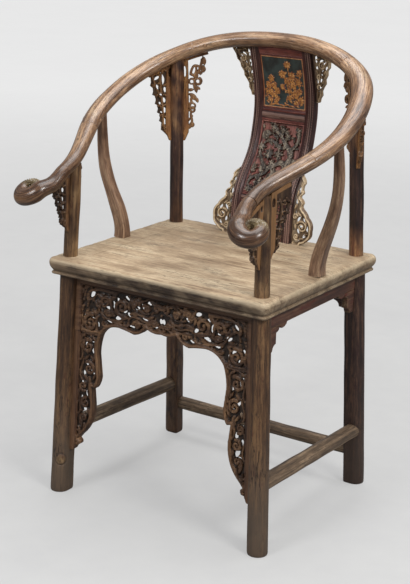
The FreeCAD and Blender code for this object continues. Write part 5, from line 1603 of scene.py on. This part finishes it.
def lobe_rim(x, z):
    """The low wings' rim is wide round the lobe, thinner above it and faint beside the splat."""
    return np.where(z < 588, 6.2, 3.0) * np.where(x > 78, 1, 0.4)


for name, sign in (("right", 1), ("left", -1)):
    span = tuple(sorted((sign * WING_START, sign * 122.0)))
    solid, carving = pierced(TOP_WING, TOP_WING_STROKES, 77.0, thin_rim, TOP_WING_HOLES, 899.0)
    carved_board("splat_wing_top_" + name, (span, (797.0, 912.0)), 0.9, solid, carving,
                 splat_place, WING, 1, 61)
    span = tuple(sorted((sign * WING_START, sign * 126.0)))
    solid, carving = pierced(LOW_WING, LOW_WING_STROKES, 76.0, lobe_rim, LOW_WING_HOLES)
    carved_board("splat_wing_bottom_" + name, (span, (SEAT - 0.5, 652.0)), 0.9, solid, carving,
                 splat_place, WING, 1, 62)

# %% [markdown]
# Spandrels are openwork brackets where a post meets the rail. Each has a plain golden strip
# beside the post, another under the rail, and hooked scrolls outside. They stand in upright
# planes that leave the post towards the rail, so a board needs the plane's direction, the post's
# lean and the line of the rail's underside.

# %% Spandrels: the drawings
HEAD_Z = float(leg_head("rear")[2])
TOOTHED = [
    stem([(33, 848), (40, 826), (38, 802), (35, 776), (33, 750), (31, 726), (25, 706)], 3, 2.2),
    stem([(52, 850), (57, 832), (52, 815), (45, 800), (40, 790)], 3, 2.2),
    scroll(46, 838, 7.5, 80, 1.3, 2.1), scroll(45, 812, 6.5, 260, 1.2, 2, hand=-1),
    scroll(40, 789, 6, 60, 1.2, 2), scroll(38, 766, 5.5, 250, 1.1, 1.9, hand=-1),
    scroll(35, 746, 5, 70, 1.1, 1.8), scroll(32, 725, 4.5, 250, 1, 1.8, hand=-1),
    *leaves((60, 836, 20, 3.6, -62), (55, 810, 17, 3.4, -48), (49, 787, 15, 3.2, -45),
        (45, 765, 14, 3, -45), (39, 744, 12, 2.8, -42), (36, 721, 12, 2.8, -52),
        (28, 842, 13, 2.2, 25), (28, 812, 12, 2.2, -20), (28, 789, 11, 2.2, 20),
        (28, 768, 11, 2.2, -15), (27, 742, 10, 2.1, 20), (27, 718, 9, 2.2, -30)),
]
OPEN = [
    stem([(27, 836), (30, 848), (36, 855), (43, 854), (51, 848), (55, 843)], 2.2, 1.9),
    stem([(37, 855), (39, 846), (36, 836)], 1.8, 1.8),
    stem([(51, 868), (48, 854), (41, 836)], 2.6, 2),
    *leaves((54, 866, 20, 3.6, -78), (54, 850, 15, 3, -55), (50, 840, 12, 2.8, 60)),
    bead(38, 833, 4.6, 0.9), leaf(31, 834, 12, 2.4, -20), scroll(30, 820, 6.4, 0, 1, 2, 0.8),
    scroll(43, 821, 7.4, 60, 1.15, 2.5, 0.75, hand=-1),
    *leaves((37, 806, 22, 3.6, -70), (28, 801, 12, 2.8, 10), (33, 786, 22, 4.2, -42),
        (41, 780, 13, 2.8, -60), (30, 780, 12, 2.4, 95), (43, 806, 12, 2.6, -30)),
    scroll(32.5, 767, 7, 100, 1.15, 2.3, 0.75), scroll(32, 759, 5.8, 250, 1, 2, 0.8),
    stem([(31, 754), (29.5, 745), (31.5, 738), (31, 728)], 1.9, 2), bead(30.6, 744, 2.8, 0.8),
    bead(32, 725, 4.6, 0.9),
    *leaves((27, 719, 12, 3, 40), (26, 736, 9, 2.2, 60), (26, 756, 9, 2, 10)),
]
OPEN = [(line, widths * 1.3, height) for line, widths, height in OPEN]


TOOTHED_OUTLINE = np.array([
    (10, 900), (66, 900), (66, 846), (67, 834), (61, 829), (60, 818), (62, 811), (56, 806),
    (55, 798), (57, 791), (50, 788), (49, 779), (51, 771), (45, 768), (44, 760), (46, 752),
    (40, 749), (39, 741), (41, 733), (36, 730), (35, 722), (37, 714), (31, 709), (24, 702),
    (16, 692), (10, 690),
], float)
TOOTHED_HOLES = leaves(
    (34.5, 824, 21, 2.6, 86), (47, 827, 13, 2.8, -35), (46.5, 808, 12, 2.8, 65),
    (29.5, 802, 11, 2.9, 80), (38, 791, 8, 2, 30), (31, 779, 11, 3, 75), (40, 772, 7, 1.9, 60),
    (29.5, 757, 12, 2.8, 85), (36, 752, 6, 1.7, 40), (29, 731, 16, 2.4, 87), (57, 838, 8, 2, -50),
    (41, 840, 8, 2.2, 20),
)
print(len(TOOTHED) + len(OPEN), "strokes and", len(TOOTHED_HOLES), "holes")

# %% [markdown]
# One drawing serves six of the eight spandrels: it is stretched to each one's width and drop. The
# toothed ones are boards with holes, and the open one on the inner side is the strokes alone.

# %% Spandrels: the boards


def moved(line, wide, tall, head):
    """The rear drawing's points stretched to another bracket's width and drop below its head."""
    return np.stack([24 + (line[:, 0] - 24) * wide, head - (HEAD_Z - line[:, 1]) * tall], -1)


def in_slit(u, z, middle, height, half_length, half_width):
    """Distance into an upright slit with pointed ends."""
    share = np.clip(np.abs(z - height) / half_length, 0, 1)
    return half_width * np.sqrt(1 - share**2) - np.abs(u - middle) - 4.0 * (share >= 1)


def spandrel(name, kind, forward, width, drop, strokes, wide, mirror, seed):
    """forward 1 goes towards the hands, -1 towards the back, along the rail from the post."""
    head = leg_head(kind)
    steps = np.linspace(0, width + 14, 60)
    distance = HEAD_SHARE[kind] * HALF_RAIL + forward * steps
    centre, along, _, _ = rail_place(np.minimum(distance, HALF_RAIL))
    centre = centre + along * np.maximum(distance - HALF_RAIL, 0)[:, None]
    way = unit((centre[np.searchsorted(steps, width)] - head)[:2])
    side = np.array([-way[1], way[0]])
    reach = (centre[:, :2] - head[:2]) @ way
    under = centre[:, 2] - 13.0
    bottom = head[2] - drop
    base = leg_axis(kind, bottom)[:2]
    tall = drop / 190.0

    def fitted(drawing):
        """Strokes moved to this bracket, their widths changed half as much as its width."""
        return [(moved(line, wide, tall, head[2]), widths * (0.5 + 0.5 * wide), height)
                for line, widths, height in drawing]

    drawing, holes = fitted(strokes), fitted(TOOTHED_HOLES)
    outline = moved(TOOTHED_OUTLINE, wide, tall, head[2])

    def post_line(z):
        """Where the leaning post's side cuts the board's plane."""
        gap = leg_axis(kind, z)[..., :2] - base
        return gap @ way + np.sqrt(np.maximum(POST_RADIUS**2 - (gap @ side) ** 2, 1.0))

    def parts(u, z):
        """Distance below the rail, and into the strip by the post and the cap under the rail."""
        below = np.interp(u, reach, under) - z
        slit = in_slit(u, z, post_line(z) + 3.2, head[2] - 0.20 * drop, 0.062 * drop, 2.6)
        strip = np.minimum.reduce([post_line(z) + 11.0 - u, 18 + (z - bottom) * 0.42 - u, -slit])
        return below, strip, np.minimum(9.5 - below, 0.99 * width + 0.35 * below - u)

    def solid(u, z):
        """Strip, cap and openwork, cut off at the post, the rail and the foot."""
        below, strip, cap = parts(u, z)
        if strokes is TOOTHED:
            depth = np.minimum(inside(outline, u, z), -drawn(holes, u, z)[0])
        else:
            depth = drawn(drawing, u, z)[0]
        keep = np.maximum.reduce([strip, cap, depth])
        return np.minimum.reduce([u - post_line(z) + 2.5, below, keep, z - bottom])

    def carving(u, z):
        """The same relief on both faces: strip and cap highest, strokes next, ground lowest."""
        _, strip, cap = parts(u, z)
        _, height, crown = drawn(drawing, u, z)
        plain = np.maximum(strip, cap)
        edge = np.clip(plain / 1.8, 0, 1)
        lift = np.where(height > 0, 0.5 + 0.45 * height, 0.48)
        lift = np.where(plain > 0, 0.70 + 0.14 * np.sqrt(edge), lift)
        # Painted shade on the ground between strokes, painted highlight on the crowns of strokes
        # and strips.
        tone = np.where(height > 0, 0.25 + 0.75 * crown, 0.2)
        tone = np.where(plain > 0, 0.55 + 0.45 * edge, tone)
        return 5.5 - 11.0 * lift, 11.0 * lift - 5.5, tone, np.where(plain > 0, 0.12, 0.55)

    def place(u, z, depth):
        """u runs along the bracket's plane and depth across it."""
        flat = base + way * u[..., None] - side * (forward * depth)[..., None]
        points = np.concatenate([flat, z[..., None]], -1)
        return points * [-1, 1, 1] if mirror else points

    carved_board(name, ((8.0, width + 8.0), (bottom, head[2] + 14.0)), 0.95, solid, carving, place,
                 SPANDREL if kind == "rear" else DARK_SPANDREL, 1, seed)


for name, mirror in (("right", False), ("left", True)):
    for part, kind, forward, width, drop, strokes, wide, seed in (
            ("rear_outer_", "rear", 1, 62, 186, TOOTHED, 1.0, 71),
            ("rear_inner_", "rear", -1, 62, 186, OPEN, 1.0, 72),
            ("front_grip_", "front", 1, 72, 146, TOOTHED, 1.2, 73),
            ("front_arm_", "front", -1, 56, 130, TOOTHED, 0.86, 74)):
        spandrel("spandrel_" + part + name, kind, forward, width, drop, strokes, wide, mirror, seed)

# %% [markdown]
# The curved side posts spring from the seat, swing outward and end under the arm. They are
# square in section with softened corners, thick below and slim above. The section is a circle
# whose radius is raised towards a square, and it thins with a power of the distance.

# %% Side posts
SIDE_POST_SHARES = [
    (0, 0, 0), (0.085, 0.02, 0), (0.16, 0.13, 0.03), (0.33, 0.53, 0.25), (0.48, 0.85, 0.45),
    (0.6, 1, 0.55), (0.74, 1.055, 0.66), (1, 1, 1),
]
post_foot = np.array([SEAT_HALF - 21.0, 39.0 - SETBACK, SEAT])
post_swing = rail_place(0.662 * HALF_RAIL)[0] - post_foot
POST_LINE = smooth_line([
    post_foot + post_swing * [swing, forward, rise] for rise, swing, forward in SIDE_POST_SHARES
])


def side_post(side, seed):
    """Soft squares along the line, from just inside the seat to inside the rail."""
    length = POST_LINE[0][-1]
    runs = np.linspace(0, length - 5, 110)
    along = heading(POST_LINE, runs)
    first = unit(np.cross([0, 1.0, 0], along))
    share = (runs / length)[:, None]
    half = 14.0 + (8.2 - 14.0) * share**0.7
    turn = np.linspace(0, 2 * np.pi, 48, endpoint=False)
    c, s = np.cos(turn)[None], np.sin(turn)[None]
    radius = half * square_radius(c, s, 7.0 - 3.2 * share)
    edges = (radius / half - 1) / 0.34
    swept("side_post_" + side, along_line(POST_LINE, runs), np.cross(along, first), first,
          np.stack([radius * c, radius * s], -1), runs, POST, crown=0.72 + 0.28 * edges, rough=0.5,
          seed=seed, mirror=side == "left")


side_post("right", 81)
side_post("left", 82)

# %% [markdown]
# The hands rest on grips that wind outward and close on themselves. The body is smooth from
# centuries of palms. Its inner end is cut as a curl of small leaves. One surface does both: rings
# along a spiral, whose last part is ridged by sines across and along.

# %% Hand grips


def hand_grip(side, seed):
    """Rings from the rail's end along a spiral round the eye; leaf ridges grow towards its tip."""
    start, along, up, across = rail_place(HALF_RAIL)
    outward = -across
    eye = start + along * 62.0 + outward * 35.0
    stops = [start, start + along * 20.0 - outward * 0.5 - up * 1.5,
             start + along * 42.0 + outward * 2.5 - up * 4.5]
    angles = np.radians(np.linspace(12, 400, 20))[:, None]
    share = (angles - angles[0]) / (angles[-1] - angles[0])
    radius = 25.5 + (6.0 - 25.5) * share**1.15
    rise = 5.5 * np.clip((share - 0.5) / 0.5, 0, 1) ** 1.3
    dip = 8.0 * np.clip(share / 0.25, 0, 1)
    spiral = eye - outward * (np.cos(angles) * radius) - np.array([0, 0, 1.0]) * dip
    spiral = spiral + along * (np.sin(angles) * radius) + up * rise
    line = smooth_line(np.concatenate([stops, spiral]), 1200)
    length = line[0][-1]
    runs = np.concatenate([[0, 0.25, 0.6, 1.4, 3.0], np.linspace(5, length, 230)])
    share = runs / length
    turn = np.linspace(0, 2 * np.pi, 72, endpoint=False)
    start_width, start_height = rail_size(HALF_RAIL)
    half_width = np.interp(share, [0, 0.1, 0.22, 0.42, 0.6, 0.8, 1],
                           [start_width, 14.4, 16.6, 19.4, 17.5, 13.0, 9.5])[:, None]
    half_height = np.interp(share, [0, 0.2, 0.42, 0.7, 0.9, 1],
                            [start_height, 14.6, 17.4, 16, 13.5, 12])[:, None]
    groove = np.exp(-((runs / 0.55) ** 2))[:, None]
    end = np.sqrt(np.clip(1 - ((share - 0.965) / 0.035).clip(0, 1) ** 2, 0, 1))[:, None]
    c, s = np.cos(turn)[None], np.sin(turn)[None]
    leafy = np.clip((share - 0.72) / 0.07, 0, 1)[:, None] * np.clip(s * 1.4 + 0.35, 0, 1)
    ripple = np.sin(2 * np.pi * runs[:, None] / 6.4 + 3.0 * np.abs(c)) ** 2
    ribs = np.sin(turn * 9)[None] ** 2
    carve = leafy * (1.9 * ripple + 0.9 * ribs * ripple - 0.6)
    size = (1 - 0.02 * groove) * end * (1 + carve / 14.0 * end)
    offsets = np.stack([half_width * c * size, half_height * s * size], -1)
    # Painted shade in the valleys of the carved leaves, by their low crown; the groove at the start
    # is the seam.
    crown = (1 - 0.4 * groove) * (1 - leafy * (1 - ripple) * 0.75)
    aside = unit(np.cross(heading(line, runs), up))
    swept("hand_grip_" + side, along_line(line, runs), up, aside, offsets, runs, GRIP, crown=crown,
          rough=0.35, seed=seed, mirror=side == "left", paint=leafy, sharp=60.0)


hand_grip("right", 91)
hand_grip("left", 92)

# %% [markdown]
# The floor is a wide pale sweep and the light is soft: a lamp from the right, a weaker one from
# the left, a broad one overhead and an even world. Levels are set so that a colour shows about
# as it was written.

# %% Camera, floor and light
PICTURE_HEIGHT = 584
SENSOR = 36.0
FOCAL = 1384.09  # in picture points
AZIMUTH, ELEVATION, ROLL = math.radians(33.576), math.radians(16.922), math.radians(1.369)
FIT_SCALE = 1.02
TARGET = np.array([2.012, 1.336, 432.147]) * FIT_SCALE - [0, SETBACK, 0]
DISTANCE = 2737.11 * FIT_SCALE
WHITE = (1.0, 1.0, 1.0)
LAMP_AIM = (0, 0, 0.4)


def placed(name, data, x, y, z, place):
    """A new object with the three directions and the place as the columns of its matrix."""
    made = bpy.data.objects.new(name, data)
    bpy.context.scene.collection.objects.link(made)
    matrix = np.eye(4)
    matrix[:3] = np.stack([x, y, z, place], -1)
    made.matrix_world = Matrix(matrix.tolist())
    return made


back = np.array([math.sin(AZIMUTH) * math.cos(ELEVATION), -math.cos(AZIMUTH) * math.cos(ELEVATION),
                 math.sin(ELEVATION)])
right = np.array([math.cos(AZIMUTH), math.sin(AZIMUTH), 0])
up = np.cross(back, right)
camera_data = bpy.data.cameras.new("camera")
camera_data.sensor_fit = "AUTO"
camera_data.sensor_width = SENSOR
camera_data.lens = FOCAL / PICTURE_HEIGHT * SENSOR
camera_data.clip_end = 200.0
bpy.context.scene.camera = placed(
    "camera", camera_data, right * math.cos(ROLL) + up * math.sin(ROLL),
    up * math.cos(ROLL) - right * math.sin(ROLL), back, (TARGET + back * DISTANCE) * MM)


def lamp(name, place, size, power, tint=WHITE):
    """A square area lamp turned so that its -Z looks at the aim."""
    data = bpy.data.lights.new(name, "AREA")
    data.size = size
    data.energy = power
    data.color = tint
    z = unit(np.array(place) - np.array(LAMP_AIM))
    x = unit(np.cross([0, 0, 1.0], z))
    placed(name, data, x, np.cross(z, x), z, place)


lamp("right softbox", (2.7, -0.9, 2.6), 0.9, 66, (1.0, 0.985, 0.96))
lamp("left softbox", (-0.5, -2.9, 2.7), 0.9, 54, (0.98, 0.985, 1.0))
lamp("top", (0.1, 0.5, 3.2), 2.4, 76)


def plain_world():
    """Even soft light for the scene, and a pale backdrop for the camera alone."""
    world = bpy.data.worlds.new("world")
    bpy.context.scene.world = world
    world.use_nodes = True
    tree = world.node_tree
    light = next(n for n in tree.nodes if n.type == "BACKGROUND")
    end = next(n for n in tree.nodes if n.type == "OUTPUT_WORLD")
    join(light, {"Color": (0.98, 0.985, 1.0, 1), "Strength": 0.30})
    tone = Tone(tree)
    seen = tone.node("ShaderNodeLightPath", output="Is Camera Ray")
    backdrop = {"Color": (*colour(232, 232, 232), 1), "Strength": 1.0}
    pale = tone.node("ShaderNodeBackground", None, backdrop)
    inputs = {0: seen, 1: Tone(tree, light.outputs[0]), 2: pale}
    join(end, {"Surface": tone.node("ShaderNodeMixShader", None, inputs)})


plain_world()


def pale_floor():
    """A wide disc of rings; its colour is pale cool grey with faint cloudy marks."""
    radius = np.concatenate([[0], np.geomspace(0.3, 40, 24)])[:, None]
    turn = np.linspace(0, 2 * np.pi, 96, endpoint=False)
    disc = np.stack([radius * np.cos(turn), radius * np.sin(turn), 0 * radius * turn - 0.0002], -1)
    mesh = bpy.data.meshes.new("floor")
    mesh.from_pydata(disc.reshape(-1, 3), [], ruled_faces(25, 96)[:, ::-1])
    cleaned(mesh, 1e-5)
    floor = bpy.data.objects.new("floor", mesh)
    bpy.context.scene.collection.objects.link(floor)
    material, shader, tone = new_material("pale floor")
    place = tone.place()
    cloud = place.noise(5.0, 0.6, 1.7) * 0.7 + place.noise(4.0, 0.6, 16.0) * 0.3
    tint = cloud.window(0.3, 0.7).mix(colour(130, 130, 130), colour(140, 140, 139))
    away = place.node("ShaderNodeVectorMath", {"operation": "LENGTH"}, {0: place}, "Value")
    seen = tone.node("ShaderNodeLightPath", output="Is Camera Ray")
    glow = (away.window(0.5, 6.0, 0.38, 0.72) * seen).mix((0.0, 0.0, 0.0), WHITE)
    join(shader, {"Base Color": tint, "Emission Color": glow, "Emission Strength": 1.0,
                  "Roughness": 0.85, "Specular IOR Level": 0.1})
    mesh.materials.append(material)


pale_floor()
bpy.context.scene.view_settings.view_transform = "Standard"
print("camera, three lamps, backdrop and floor in place")
